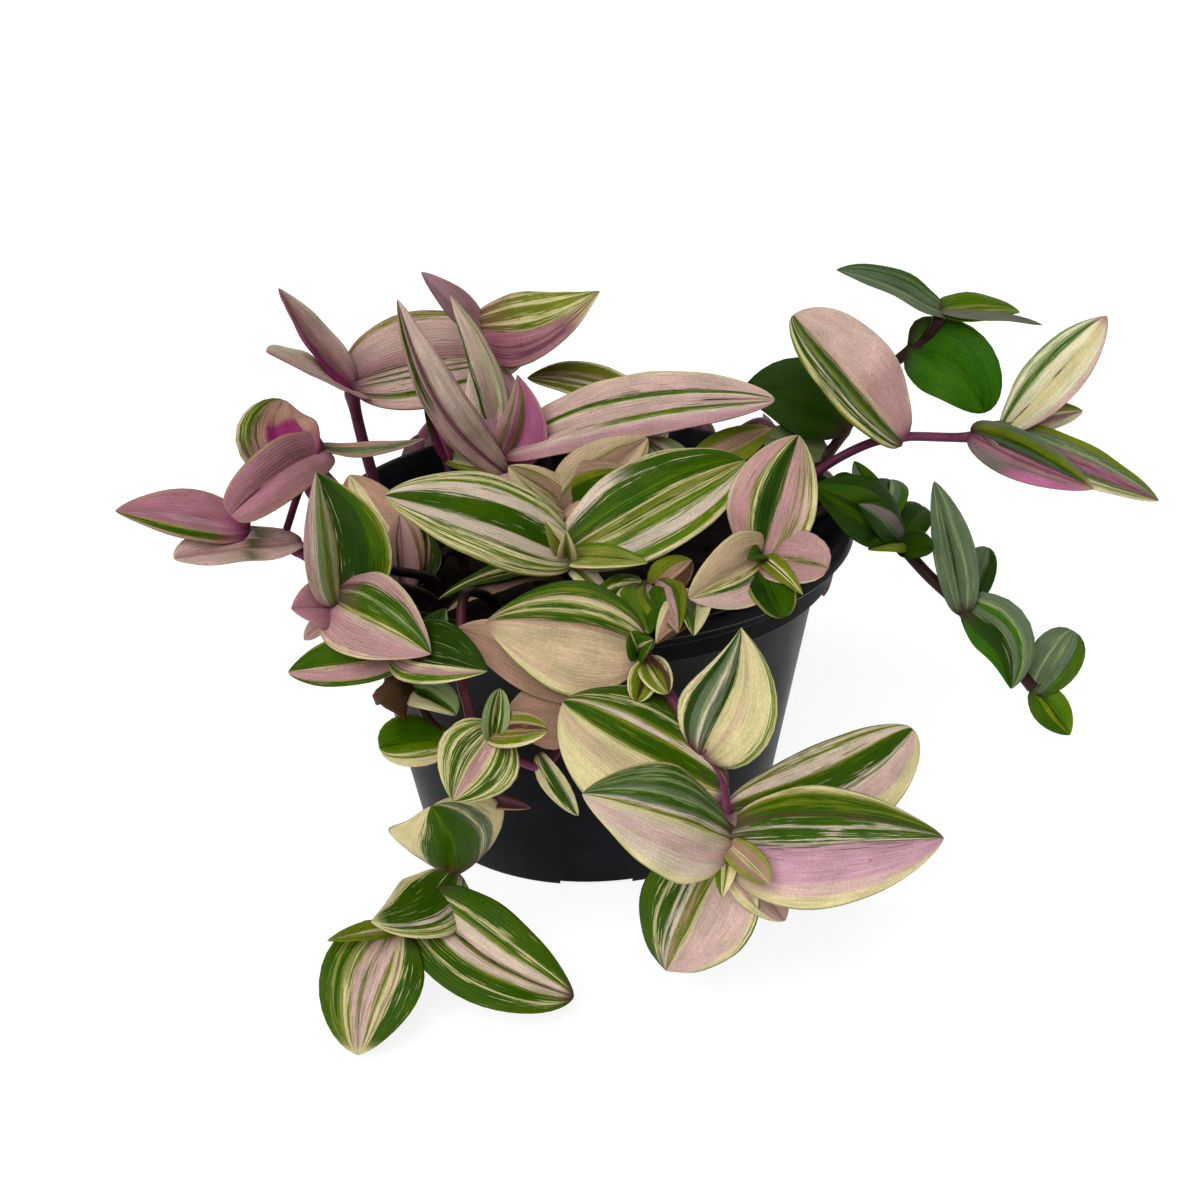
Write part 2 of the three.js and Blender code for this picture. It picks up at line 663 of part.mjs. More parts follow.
        sky: 0.35, bow: 0.1, roll: -14,
      },
      { base: [640, 650, -83], tip: [630, 631, -90], width: 9, fold: 30, sky: 0.1, point: 0.5 },
      { base: [640, 650, -83], tip: [653, 640, -92], width: 8, fold: 30, sky: 0.1, point: 0.5 },
      { base: [648, 664, -86], tip: [636, 702, -94], width: 9, fold: 30, sky: 0.1, point: 0.5 },
      { base: [648, 664, -86], tip: [668, 694, -96], width: 9, fold: 30, sky: 0.1, point: 0.5 },
      { base: [700, 742, -98], tip: [697, 677, -94], width: 4, fold: 20, sky: 0 },
      {
        base: [706, 750, -100], tip: [741, 627, -86], width: 25, fold: 12, sky: 0,
        sway: 0.1, heel: 0.5, point: 1.1,
      },
      {
        base: [722, 790, -104], tip: [563, 702, -96], width: 37, fold: -22, sky: 0.3,
        heel: 0.45, point: 0.55, sway: -0.03,
      },
      { base: [728, 842, -112], tip: [582, 794, -130], width: 30, fold: -18, sky: 0.3, bow: 0.12 },
      {
        base: [725, 812, -108], tip: [913, 729, -76], width: 25, fold: 14, sky: 0.12, sway: 0.1,
        bow: -0.02, heel: 0.6, point: 0.6,
      },
      {
        base: [729, 844, -112], tip: [944, 838, -124], width: 31, fold: -14, sky: 0.18, bow: 0.1,
        sway: 0.03, heel: 0.45, point: 0.75,
      },
      { base: [728, 846, -113], tip: [666, 971, -104], width: 30, fold: 14, sky: 0, point: 0.95 },
      { base: [729, 846, -113], tip: [722, 897, -122], width: 7, fold: 35, sky: 0.1 },
      { base: [729, 846, -113], tip: [769, 884, -128], width: 9, fold: 30, sky: 0.2, point: 0.4 },
      { base: [729, 846, -113], tip: [785, 921, -118], width: 14, fold: 14, sky: 0.1 },
    ],
  },
  {
    name: "stem_front_low",
    color: CREAM,
    thick: 2.4,
    foot: [-8, -46],
    rise: [[-9, -60, 95], [-9, -72, 98]],
    path: [
      [590, 664, -80], [582, 700, -78], [565, 738, -78],
      [545, 764, -80], [518, 760, -84], [494, 735, -86],
    ],
    leaves: [
      { base: [588, 690, -78], tip: [457, 628, -72], width: 17, fold: 10, sky: 0, sway: 0.04 },
      { base: [575, 712, -78], tip: [506, 712, -83], width: 19, fold: 10, sky: 0 },
      { base: [494, 735, -86], tip: [453, 801, -98], width: 22, fold: 14, sky: 0.1, heel: 0.55 },
      { base: [494, 735, -86], tip: [548, 730, -98], width: 10, fold: 20, sky: 0.2, point: 0.5 },
      { base: [494, 735, -86], tip: [500, 688, -88], width: 10, fold: 45, sky: 0, point: 0.45 },
      { base: [494, 735, -86], tip: [438, 758, -88], width: 13, fold: 10, sky: 0.2 },
      { base: [546, 762, -80], tip: [578, 816, -84], width: 9, fold: 20, sky: 0, roll: 40 },
    ],
  },
  {
    name: "stem_front_trailing",
    color: GREEN,
    thick: 2.6,
    foot: [-24, -46],
    rise: [[-28, -58, 94], [-31, -66, 96.5]],
    path: [
      [462, 684, -76], [468, 706, -75], [476, 760, -74], [482, 808, -73], [472, 845, -76],
      [452, 870, -84], [425, 902, -95], [394, 933, -104],
    ],
    leaves: [
      { base: [483, 803, -76], tip: [531, 808, -80], width: 5, fold: 20, sky: 0.1 },
      {
        base: [455, 872, -84], tip: [432, 806, -92], width: 38, fold: -36, sky: 0.3, roll: -14,
        sway: 0.06, heel: 0.25, point: 0.7,
      },
      { base: [452, 873, -86], tip: [371, 922, -112], width: 20, fold: -14, sky: 0.3, sway: -0.14 },
      {
        base: [395, 932, -104], tip: [358, 1055, -127], width: 26, fold: 10,
        sky: 0.2, point: 0.7, sway: 0.06,
      },
      { base: [396, 931, -104], tip: [327, 941, -114], width: 7, fold: 40, sky: 0.3 },
      {
        base: [424, 903, -95], tip: [574, 997, -112], width: 26, fold: 10, sky: 0.3,
        heel: 0.4, point: 0.65, sway: 0.09,
      },
    ],
  },
];

// The stems that hang over the back of the pot. bearing is the direction, in degrees from +X, in which
// one crosses the rim, drop how far it hangs below the rim, pairs how many pairs of leaves it bears and
// first the side of the first leaf.
const HANGING_STEMS = [
  { name: "stem_back_a", bearing: 45, drop: 40, pairs: 2, first: 1, color: GREEN },
  { name: "stem_back_b", bearing: 65, drop: 58, pairs: 3, first: 1, color: PINK },
  { name: "stem_back_c", bearing: 84, drop: 48, pairs: 3, first: 1, color: GREEN },
  { name: "stem_back_d", bearing: 103, drop: 60, pairs: 3, first: 1, color: CREAM },
  { name: "stem_back_e", bearing: 126, drop: 44, pairs: 2, first: -1, color: PINK },
];

// The short stems between them and the middle. turn is the bearing of the first leaf.
const SHORT_STEMS = [
  { name: "stem_short_a", foot: [12, 29], tall: 13, turn: 49, color: GREEN },
  { name: "stem_short_b", foot: [-31, 5], tall: 12, turn: 20, color: PINK },
  { name: "stem_short_c", foot: [27, 9], tall: 12, turn: 10, color: CREAM },
];
const SHORT_STEM_LEAVES = 4;

function bearingVectors(degrees) {
  const angle = THREE.MathUtils.degToRad(degrees);
  const out = new THREE.Vector3(Math.cos(angle), Math.sin(angle), 0);
  return { out, aside: UP.clone().cross(out) };
}

// A hanging stem rises inside the rim, crosses it at the crest and hangs outside the wall. Its leaves
// start below the crest, and get smaller and hang steeper on the way down: each leaf's tip lies out,
// aside and down from its base, from the first leaf's values to the last's.
const HANGING_THICK = 2.8;
const HANGING_FOOT_RADIUS = 46;
const CREST = POT_HEIGHT + 5.5;
const INSIDE = [57, POT_HEIGHT + 2];
const CREST_RADII = [67, 77];
const OUTSIDE = [85, CREST - 8];
const HALFWAY_RADIUS = 88;
const END_RADIUS = 87;
const BEARING_RADIUS = 80;
const FIRST_LEAF_DROP = 8;
const FIRST_LEAF = { out: 17, aside: 15, down: 18, width: 20 };
const LAST_LEAF = { out: 12, aside: 8, down: 24, width: 17 };
const HANGING_LEAF = { sky: 0, fold: 14, bow: 0.12 };
const HANGING_LEAF_ROLL = 8;
const OUTWARD_TILT = 0.4;

function hangingLine(drop) {
  const over = CREST_RADII.map((radius) => [radius, CREST]);
  return [INSIDE, ...over, OUTSIDE, [HALFWAY_RADIUS, CREST - drop / 2], [END_RADIUS, CREST - drop]];
}

function hangingStem({ name, bearing, drop, pairs, first, color }) {
  const { out, aside } = bearingVectors(bearing);
  const at = (radius, height) => out.clone().multiplyScalar(radius).setZ(height);
  const rise = hangingLine(drop).map(([radius, height]) => at(radius, height));
  const toward = out.clone().addScaledVector(UP, OUTWARD_TILT);
  const leaves = [];
  for (let i = 0; i < pairs * 2; i += 1) {
    const part = i / (pairs * 2 - 1);
    const value = (key) => THREE.MathUtils.lerp(FIRST_LEAF[key], LAST_LEAF[key], part);
    const hand = i % 2 === 0 ? first : -first;
    const base = at(
      THREE.MathUtils.lerp(BEARING_RADIUS, END_RADIUS, part),
      CREST - THREE.MathUtils.lerp(FIRST_LEAF_DROP, drop, part),
    );
    const tip = base
      .clone()
      .addScaledVector(out, value("out"))
      .addScaledVector(aside, hand * value("aside"))
      .addScaledVector(UP, -value("down"));
    const roll = hand * HANGING_LEAF_ROLL;
    leaves.push({ ...HANGING_LEAF, base, tip, toward, width: value("width"), roll });
  }
  const foot = [out.x * HANGING_FOOT_RADIUS, out.y * HANGING_FOOT_RADIUS];
  return { name, color, thick: HANGING_THICK, foot, rise, leaves };
}

// A short stem bears four leaves crosswise, each a step below the last.
const SHORT_THICK = 2.4;
const LEAF_STEP = 2.5;
const SHORT_LEAF = { sky: 1, width: 14, fold: 16, bow: 0.1 };
const SHORT_LEAF_REACH = 20;
const SHORT_LEAF_RISE = 6;

function shortStem({ name, foot, tall, turn, color }) {
  const top = new THREE.Vector3(foot[0], foot[1], SOIL_TOP + tall);
  const leaves = [];
  for (let i = 0; i < SHORT_STEM_LEAVES; i += 1) {
    const { out } = bearingVectors(turn + (i * 360) / SHORT_STEM_LEAVES);
    const base = top.clone().addScaledVector(UP, -LEAF_STEP * i);
    const tip = base.clone().addScaledVector(out, SHORT_LEAF_REACH).addScaledVector(UP, SHORT_LEAF_RISE);
    leaves.push({ ...SHORT_LEAF, base, tip });
  }
  return { name, color, thick: SHORT_THICK, foot, rise: [top], leaves };
}

const STEMS = [...FRONT_STEMS, ...HANGING_STEMS.map(hangingStem), ...SHORT_STEMS.map(shortStem)];

const pieces = new THREE.Group();

function addPiece(name, body, color, roughness) {
  const material = new THREE.MeshStandardMaterial({ color, roughness, metalness: 0 });
  const mesh = new THREE.Mesh(geometryOf(body), material);
  mesh.name = name;
  pieces.add(mesh);
}

addPiece("pot", makePot(), 0x17181a, 0.45);
addPiece("soil", makeSoil(STEMS), 0x2a1f17, 0.95);
for (const stem of STEMS) addPiece(stem.name, makeLeafyStem(stem), stem.color, 0.5);

export default pieces;
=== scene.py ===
import math
import random

import bmesh
import bpy
import numpy as np
from bpy.props import FloatProperty, FloatVectorProperty, IntProperty, PointerProperty
from mathutils import Matrix, Quaternion, Vector, noise


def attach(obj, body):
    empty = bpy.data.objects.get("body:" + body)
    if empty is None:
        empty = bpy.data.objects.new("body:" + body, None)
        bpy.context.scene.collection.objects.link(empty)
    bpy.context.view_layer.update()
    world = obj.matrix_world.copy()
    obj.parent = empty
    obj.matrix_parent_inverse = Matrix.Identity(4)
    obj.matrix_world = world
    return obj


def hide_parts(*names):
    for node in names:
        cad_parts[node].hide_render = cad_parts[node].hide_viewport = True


bl_info = {
    "name": "Potted tradescantia",
    "version": (1, 0, 0),
    "blender": (4, 5, 0),
    "location": "3D Viewport > Sidebar > Tradescantia",
    "description": "Dresses the packed potted tradescantia with leaves, stems, pot and soil",
    "category": "Add Mesh",
}

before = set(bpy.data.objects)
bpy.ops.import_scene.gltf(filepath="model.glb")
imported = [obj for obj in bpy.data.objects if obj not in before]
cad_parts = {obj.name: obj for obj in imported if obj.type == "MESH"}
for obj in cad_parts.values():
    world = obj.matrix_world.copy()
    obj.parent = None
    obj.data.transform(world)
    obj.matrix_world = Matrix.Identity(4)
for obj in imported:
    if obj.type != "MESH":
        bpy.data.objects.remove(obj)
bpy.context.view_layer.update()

MM = 0.001
UP = Vector((0, 0, 1))

# The front view in which the plant is laid out: a square of 1200 pixels. A point there is a pixel
# and the depth y, in millimetres, of the upright plane that it lies on.
VIEW_PIXELS = 1200
VIEW_FOCAL_PIXELS = 2071
VIEW_ROLL = math.radians(-1.6)
VIEW_ELEVATION = math.radians(27)
VIEW_DISTANCE = 600
VIEW_PIVOT = 45
VIEW_TARGET = Vector((3.5, 0, 63.3))
VIEW_EYE = Vector((
    0,
    -VIEW_DISTANCE * math.cos(VIEW_ELEVATION),
    VIEW_PIVOT + VIEW_DISTANCE * math.sin(VIEW_ELEVATION),
))
SENSOR = 36
AHEAD = (VIEW_TARGET - VIEW_EYE).normalized()
RIGHTWARD = AHEAD.cross(UP).normalized()
UPWARD = RIGHTWARD.cross(AHEAD)

# Pot and soil, in millimetres
POT_HEIGHT = 90
RIM_RADIUS = 75
FOOT_RADIUS = 51
WALL_TOP_RADIUS = 65.5
BAND_RADIUS = 70
BAND_BOTTOM = 76
FLOOR_TOP = 2.6
DRAIN_HOLES = 8
DRAIN_RADIUS = 4.5
DRAIN_RING = 30
FOOT_NOTCHES = 4
NOTCH_SIZE = (20, 51, 3.2)
NOTCH_DISTANCE = 68.9
SOIL_TOP = 78
SOIL_DOME = 0.8
SOIL_DOME_RADIUS = 44
SOIL_SHOULDER = [(48, 77.4), (51, 76.8), (54, 76.3), (58, 75.8)]
SOIL_BOTTOM = 2.9
SOIL_SIDES = 96
LUMP_LEVEL = 74
LUMP_SIZE = 7
LUMP_HEIGHT = 1.1
CRUMB_RING = 57
CRUMB_TOP = 78.6
CRUMB_FALL = 2.6
CRUMB_SIZES = (0.5, 1.7)
ROOT_DEPTH = 8
COLLAR = 6
CREST = POT_HEIGHT + 5.5

# The steps, in millimetres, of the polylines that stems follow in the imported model, and the
# samples in which a curve's length is measured
STEM_STEP = 14
LENGTH_SAMPLES = 200

# A stem, in millimetres. It swells at a joint, a sheath wraps it from just before the joint to just
# past it, and a dark ring marks where the sheath starts. Its oldest part, low in the pot, is brown
# bark, painted darker still as shade so that it sinks into the shadow under the leaves.
SHOOT_SIDES = 12
SHOOT_STEP = 1.4
SWELL_WIDTH = 1.6
SHEATH_SWELL = 0.55
SHEATH_BEFORE = 4.5
SHEATH_AFTER = 1.2
RING_BEFORE = 6.5
RING_WIDTH = 0.7
RING_SHADE = 0.55
BRANCH_THICKNESS = 0.8
OLD_END = 50
OLD_FADE = 12
OLD_BARK_AND_SHADE = "#1d1210"

# A leaf's mesh. Rows are in millimetres, columns in parts of the half width. Where two bands meet,
# each stops a soft edge short of the other, and the column nearest the midrib moves onto it.
ROW_STEP = 1.8
FEWEST_ROWS = 12
MOST_ROWS = 30
COLUMN_STEP = 0.12
SOFT_EDGE = 0.014
MIDRIB_SNAP = 0.03
ARCH_SAMPLES = 41

# A leaf's form. Its base clasps the stem: it starts behind it and passes over the side that the
# leaf faces, in millimetres, up to a part of the length. Neither end is narrower than its least
# half width. The ripples of the right and the left margin repeat at different lengths, and are full
# where the half is wide enough. The midrib lies in a groove.
CLASP_OVER = 1.1
CLASP_BEHIND = 1.4
CLASP_END = 0.22
BASE_HALF_WIDTH = 1.8
TIP_HALF_WIDTH = 0.12
BAND_WAVER = 0.022
BAND_WAVES = 1.2
RIPPLE_LENGTHS = (21, 17)
RIPPLE_FULL = 6
GROOVE_DEPTH = 0.16
GROOVE_WIDTH = 0.05

# A leaf's colours. Strands of the neighbouring tissue are many within a short distance of a band's
# edge and few farther inside; in a leaf of one tissue they are a darker shade of it. Places along
# a leaf are parts of its length and places across it parts of its half width. Shades are how much
# darker it gets there: at the base and along the midrib's groove the darkening is painted shade,
# where overlapping leaves and the sides of the groove would shade the blade, while the margin and
# the underside are simply darker. Tones are how far one colour gives way to another.
EDGE_STRANDS = 0.16
INNER_STRANDS = (0.22, 0.42)
MOST_STRANDS = 0.72
LONE_STRANDS = 0.72
STRAND_WAVER = 0.12
BAND_FADE = 0.08
BLUSH_TONE = 0.85
# painted shade at a leaf's base, up to a part of its length, and along the midrib's groove
PAINTED_BASE_SHADE = 0.34
PAINTED_SHADE_REACH = 0.15
PAINTED_MIDRIB_SHADE = 0.14
MIDRIB_WIDTH = 0.035
MARGIN_SHADE = 0.4
MARGIN_START = 0.965
SHEATH_TONE = 0.8
SHEATH_SPAN = (0.02, 0.075)
TIP_SPAN = (0.9, 0.99)
UNDER_TONE = 0.68
UNDER_SHADE = 0.85
UNDER_STRANDS = 0.6

# The wave texture repeats at this length divided by its scale.
WAVE_LENGTH = 0.314

# Where the random draws start: those of each group of stems, of the choice of their looks and of
# the crumbs. A leaf's start at its stem's times LEAF_SEEDS plus its own number, and those of its
# colours COLOUR_SEED later.
FRONT_SEED = 100
HANGING_SEED = 700
SHORT_SEED = 900
SEED_STEP = 17
LEAF_SEEDS = 31
COLOUR_SEED = 5
HANGING_LOOKS_SEED = 5
SHORT_LOOKS_SEED = 8
CRUMB_SEED = 11

# The directions that the broad lights come from
KEY_FROM = (-0.4, -0.95, 1.15)
FILL_FROM = (0.5, 1, 0.8)

# What holds for a leaf unless its entry says otherwise, with angles in degrees. fold lifts each
# half from the midrib. bow and sway are how far the middle stands out towards the leaf's face and
# aside, in parts of the length. sky turns the face from the viewer (0) to the sky (1), roll turns
# the leaf about its length, and twist turns its ends against each other. heel and point shape the
# base and the tip: less is fuller. blush is how magenta the base is, as far as reach. under and
# tipped are the tissues of the underside and the tip, and ragged is how much the margin is worn.
PLAIN_LEAF = {
    "fold": 18, "bow": 0.08, "sway": 0, "sky": 0.4, "roll": 0, "twist": 0, "heel": 0.5,
    "point": 0.8, "blush": 0.12, "reach": 0.2, "under": "U", "tipped": "", "ragged": 0,
}

# The tissue colours, by the letters that a leaf's look is written in.
TISSUES = {
    "P": ("pink", "#ad8784"),
    "R": ("rose", "#b38b96"),
    "W": ("blush_white", "#c6b5a2"),
    "C": ("cream", "#c8bd8e"),
    "Y": ("yellow_green", "#80853d"),
    "O": ("olive", "#65701c"),
    "G": ("leaf_green", "#4f6a12"),
    "K": ("deep_green", "#33500a"),
    "D": ("darkest_green", "#213808"),
    "N": ("fresh_green", "#2a560b"),
    "M": ("magenta", "#84305f"),
    "U": ("mauve", "#906668"),
    "V": ("grey_purple", "#6d635f"),
    "T": ("tan", "#a0806c"),
    "B": ("brown", "#4a3424"),
    "S": ("silver_green", "#7e8c5e"),
    "Z": ("grey_green", "#55644a"),
    "L": ("dusky_pink", "#a07079"),
    "H": ("bright_magenta", "#a96585"),
    "I": ("ivory", "#d2ccaa"),
    "E": ("maroon", "#6a4152"),
    "J": ("dull_cream", "#bba585"),
    "A": ("pale_rose", "#bfa299"),
}

# The paler and the darker colour of a stem's skin, by its name
BARKS = {
    "purple_bark": ("#662f48", "#351022"),
    "red_bark": ("#5c2a33", "#32101b"),
    "brown_bark": ("#3a251f", "#190d0e"),
    "green_bark": ("#7f7a50", "#54402e"),
}


def leaf(base, tip, width, look, **shape):
    """A leaf's entry: its ends, its width, its look and what differs from a plain leaf."""
    return {**PLAIN_LEAF, "base": base, "tip": tip, "width": width, "look": look, **shape}


# The stems that show in the front view. foot is where each stands in the soil, rise its next
# points in millimetres, path its points in the front view, and a leaf's first two entries are its
# ends there. A look lists the bands of a leaf from its left margin (-1) to its right margin (1),
# each a tissue letter and where the band ends. <t fades a band out towards the tip past that part
# of the length, and >t lets it begin there; a letter after that is the tissue it gives way to.
FRONT_STEMS = [
    {"name": "upper_left", "slot": "foliage_pink", "thick": 3.4, "foot": (-50, 17),
     "path": [(385, 515, 21), (371, 470, 24), (360, 430, 25), (350, 385, 26)], "old": 24,
     "leaves": [
         leaf((349, 375, 26), (278, 288, 8), 15, "M.05<.6H P.4 A.85 W", fold=42, sky=0.2, roll=30,
              bow=-0.05, sway=-0.05, blush=0.8, reach=0.3),
         leaf((351, 394, 26), (266, 351, 2), 22, "P-.45 Y-.15>.4A A.2 W.8 C", fold=14, sky=0.7,
              bow=0.02, point=0.5, sway=-0.12),
         leaf((350, 380, 26), (524, 362, 50), 30,
              "T-.94 O-.88 A-.3 P0 K.05 A.14 K.19 A.28 K.33 A.58 K.64 G.7 A.93 T", fold=14, sky=0.2,
              bow=0.06, sway=-0.06, blush=0.5),
     ]},
    {"name": "left", "slot": "foliage_pink", "thick": 2.6, "foot": (-52, -10),
     "rise": [(-62, -17, 92), (-69, -21, 96)],
     "path": [(312, 558, -26), (298, 551, -27), (276, 544, -27), (243, 531, -28)],
     "branches": [[(288, 525, -22), (302, 484, -14), (320, 452, -6)]],
     "leaves": [
         leaf((243, 530, -28), (115, 511, -40), 16, "T-.86 K-.6 Y-.54 T-.46 L-.2 R.1 L.94 T",
              fold=24, sky=0.5, roll=-14, bow=0.05, blush=1, reach=0.3),
         leaf((298, 550, -26), (174, 559, -44), 17,
              "A-.96 K-.3>.4<.5A P-.28 K.32>.3<.42P A.34 K.9>.22<.34A A", fold=14, sky=0.7,
              point=0.5, bow=0.03),
         leaf((333, 458, -8), (230, 516, -38), 17, "T-.93 U-.5 L.2 U.4 L.9 T", fold=20, sky=0.1,
              bow=0.14, sway=0.03, heel=0.3, point=0.3, under="M"),
         leaf((306, 474, -12), (284, 400, 6), 25,
              "C-.92 K-.8 Y-.74 K-.64 T-.56 K-.5 T-.3 M.66<.68T T", fold=24, sky=0.1, sway=-0.2,
              heel=0.4, point=0.7, blush=1, reach=0.6),
         leaf((312, 462, -9), (338, 504, -24), 13, "M.3 H.6 M", fold=35, sky=0.1, roll=160,
              point=0.5, under="H"),
         leaf((318, 446, -6), (426, 438, 8), 9, "T-.5 Z-.1 S.4 T", fold=20, sky=0.8, bow=-0.08,
              point=1, under="S"),
     ]},
    {"name": "front_left", "slot": "foliage_green", "thick": 2.6, "foot": (-40, -30),
     "rise": [(-52, -40, 93), (-58, -45, 97)], "path": [(346, 602, -54), (330, 616, -58)],
     "leaves": [
         leaf((343, 603, -54), (316, 472, -42), 29,
              "P-.86 W-.7 S-.5 O-.38 S-.3 C-.04 D.6 K.88 O.95 C", fold=32, sky=0, roll=22,
              sway=0.05, point=1),
         leaf((343, 608, -55), (431, 654, -80), 24,
              "C-.95 P-.7 K-.45 S-.4 K-.1 O-.05 C.02 O.07 C.12 A.3 P.94 C", fold=14, sky=0.15,
              blush=0.6, reach=0.3),
         leaf((336, 611, -56), (291, 609, -66), 14, "L.9 T", fold=10, sky=0.3, blush=1, reach=0.6),
         leaf((330, 616, -58), (304, 640, -58), 5, "P", sky=0.2, blush=0.4),
     ]},
    {"name": "inner_left", "slot": "foliage_pink", "thick": 2.4, "foot": (-34, -14),
     "rise": [(-38, -18, 88)], "path": [(424, 588, -23), (406, 586, -28)],
     "leaves": [
         leaf((405, 586, -30), (400, 514, -24), 13, "T-.55 P-.42 D-.28 P.85 T", fold=40, sky=0,
              roll=-10, blush=0.2),
         leaf((408, 586, -29), (349, 475, -8), 22, "T-.4 C.3 T", fold=12, sky=0),
         leaf((420, 588, -26), (426, 532, -16), 12, "D.3 T.45 D", fold=12, sky=0),
     ]},
    {"name": "left_low", "slot": "foliage_plain", "thick": 2.2, "foot": (-40, -42),
     "rise": [(-47, -51, 93), (-51, -57, 96)],
     "path": [(402, 650, -67), (410, 680, -70), (424, 712, -71), (450, 744, -73)],
     "bark": "brown_bark",
     "leaves": [
         leaf((401, 656, -67), (288, 672, -64), 15, "K-.82 T-.74 P-.1 C-.04 O0 K.9 Y", sway=-0.05,
              fold=16, sky=0.5, roll=-10, blush=0.3),
         leaf((402, 652, -67), (488, 671, -88), 19, "D-.04 S.03 D.35 C.45 P.72 G.92 C", fold=14,
              sky=0.25),
         leaf((410, 672, -68), (446, 608, -64), 11, "D.6 S.8 K", fold=10, sky=0.1),
         leaf((412, 690, -70), (380, 704, -84), 14, "B", fold=-30, sky=0.2, twist=90, point=0.4,
              under="B", ragged=0.35),
         leaf((412, 690, -70), (456, 716, -82), 12, "S-.3 K.3 C", fold=35, sky=0.2, twist=-60,
              point=0.5),
         leaf((448, 742, -73), (379, 748, -82), 15, "C-.7 O-.6 C-.5 G0 K.9 G", fold=8, sky=0.4,
              point=0.4),
     ]},
    {"name": "centre_front", "slot": "foliage_green", "thick": 2.8, "foot": (-3, -24),
     "rise": [(-4, -34, 88)], "path": [(566, 574, -42), (567, 557, -46)], "bark": "green_bark",
     "leaves": [
         leaf((568, 557, -46), (745, 461, -28), 28,
              "C-.96 W-.74<.4K K-.4 G-.36 K-.2 C-.16 O-.08 Y-.03 K.03 C.06 O.13 C.17 G.26 Y.29 "
              "G.42 W.7>.16G G.9 C",
              fold=12, sky=0.35, heel=0.55, point=0.7, sway=0.02),
         leaf((560, 560, -46), (384, 496, -58), 26,
              "O-.94 C-.86 K-.8 C-.74 G-.64 C-.52 K-.45 W-.06 K.45 W.7 G.78 C.85 K.91 C", fold=12,
              sky=0.4, heel=0.55, point=0.75),
         leaf((562, 560, -46), (545, 521, -50), 7, "Y0 O.3 C", fold=35, sky=0.1),
         leaf((566, 560, -46), (566, 530, -54), 7, "C-.5 Y-.1 O.1 Y.5 C", fold=40, sky=0.1),
         leaf((571, 565, -46), (648, 563, -62), 8, "G-.75 Y-.12 O0 Y.8 C", fold=15, sky=0.3),
         leaf((571, 572, -46), (614, 606, -54), 7, "W-.3 Y.2 O.4 C", fold=30, sky=0.2),
         leaf((566, 580, -40), (438, 600, -40), 12, "K-.5 T-.2 K.2 C.4 K", fold=14, sky=1),
         leaf((566, 586, -38), (446, 612, -44), 13, "T-.6 P0 T.4 D", fold=14, sky=1),
     ]},
    {"name": "centre", "slot": "foliage_cream", "thick": 2.6, "foot": (2, 6),
     "path": [(560, 510, -8)],
     "branches": [[(620, 498, -4), (690, 472, 0)],
                  [(590, 480, 6), (640, 440, 18), (632, 398, 28)]],
     "leaves": [
         leaf((560, 520, -6), (640, 474, -12), 22, "T-.7 O-.5 K.2 T.35 K.5 J.6 K.75 T", fold=14,
              sky=0.1),
         leaf((560, 512, -6), (648, 438, -6), 22, "J-.5 O-.44 T.2 J.6 O.74 J", fold=14, sky=0.1),
         leaf((560, 512, -6), (508, 466, -8), 14, "J-.3 O-.2 J.1 O.2 T.6 O.7 J", fold=14, sky=0.1),
         leaf((690, 472, 0), (642, 438, 6), 10, "S-.6 W-.4 K-.2 W0 K.2 W.5 S", fold=20, sky=0.1),
         leaf((690, 472, 0), (772, 428, 8), 12, "O-.5 T.3 O", fold=16, sky=0.2),
         leaf((632, 398, 28), (527, 378, 36), 14, "C-.85 O-.5 C-.35 O-.1 W.15 O.3 T.45 O.85 C",
              fold=20, sky=0.5),
         leaf((632, 398, 28), (744, 386, 30), 9, "O-.5 C-.2 O.2 C", fold=20, sky=0.6),
     ]},
    {"name": "upper_centre", "slot": "foliage_pink", "thick": 3, "foot": (-22, 22),
     "path": [(506, 478, 20), (507, 452, 20)],
     "branches": [[(498, 430, 26), (490, 380, 31), (480, 328, 34)]], "old": 24,
     "leaves": [
         leaf((506, 470, 20), (397, 299, 0), 14,
              "P-.86 K-.55>.55A A-.4 U-.25 E-.14 U-.08 A.1 W.4 A.6 W.85 P", fold=22, sky=0.05,
              roll=18, heel=0.7, sway=-0.08, blush=0.3, under="R"),
         leaf((498, 430, 26), (450, 295, 20), 13, "K-.88 W-.72 A-.4 W-.1 I.55 S.68 A.9 S", fold=45,
              sky=0, roll=-20, sway=0.08, blush=0.3),
         leaf((506, 465, 20), (482, 346, 30), 19, "W-.5 R.1 W.3 S.4 W.55 R", fold=14, sky=0,
              blush=0.3),
         leaf((507, 455, 20), (517, 374, 14), 17, "P-.7 G-.6 P-.46 H-.3 Y-.2 O-.1 H.9 P", fold=22,
              sky=0, roll=-6, sway=0.14, point=1, blush=0.3, reach=0.8),
         leaf((507, 455, 20), (775, 400, -4), 20,
              "C-.94 A-.42 K-.34 G-.28 W-.2 A.26 K.3>.4A G.44>.42A W.5 A.6 R.74 P", fold=12,
              sky=0.3, sway=-0.04, twist=20, point=0.62, blush=0.6, reach=0.25),
         leaf((482, 338, 33), (421, 272, 20), 11, "P-.3 R.4 P.86 K", fold=35, sky=0.2, roll=150,
              under="R"),
         leaf((480, 328, 34), (600, 291, 24), 22,
              "C-.93 O-.7 C-.62 O-.3 C-.2 O-.06 C0 U.16<.72Y L.26<.74C U.42<.76O E.52<.76C "
              "U.64<.78Y E.8<.78C U<.8C",
              fold=14, sky=0.3, sway=0.16, twist=-50, under="U", blush=0.5, reach=0.5),
     ]},
    {"name": "back_left", "slot": "foliage_pink", "thick": 2.2, "foot": (-39, 38),
     "path": [(448, 466, 42), (447, 456, 43)], "old": 24,
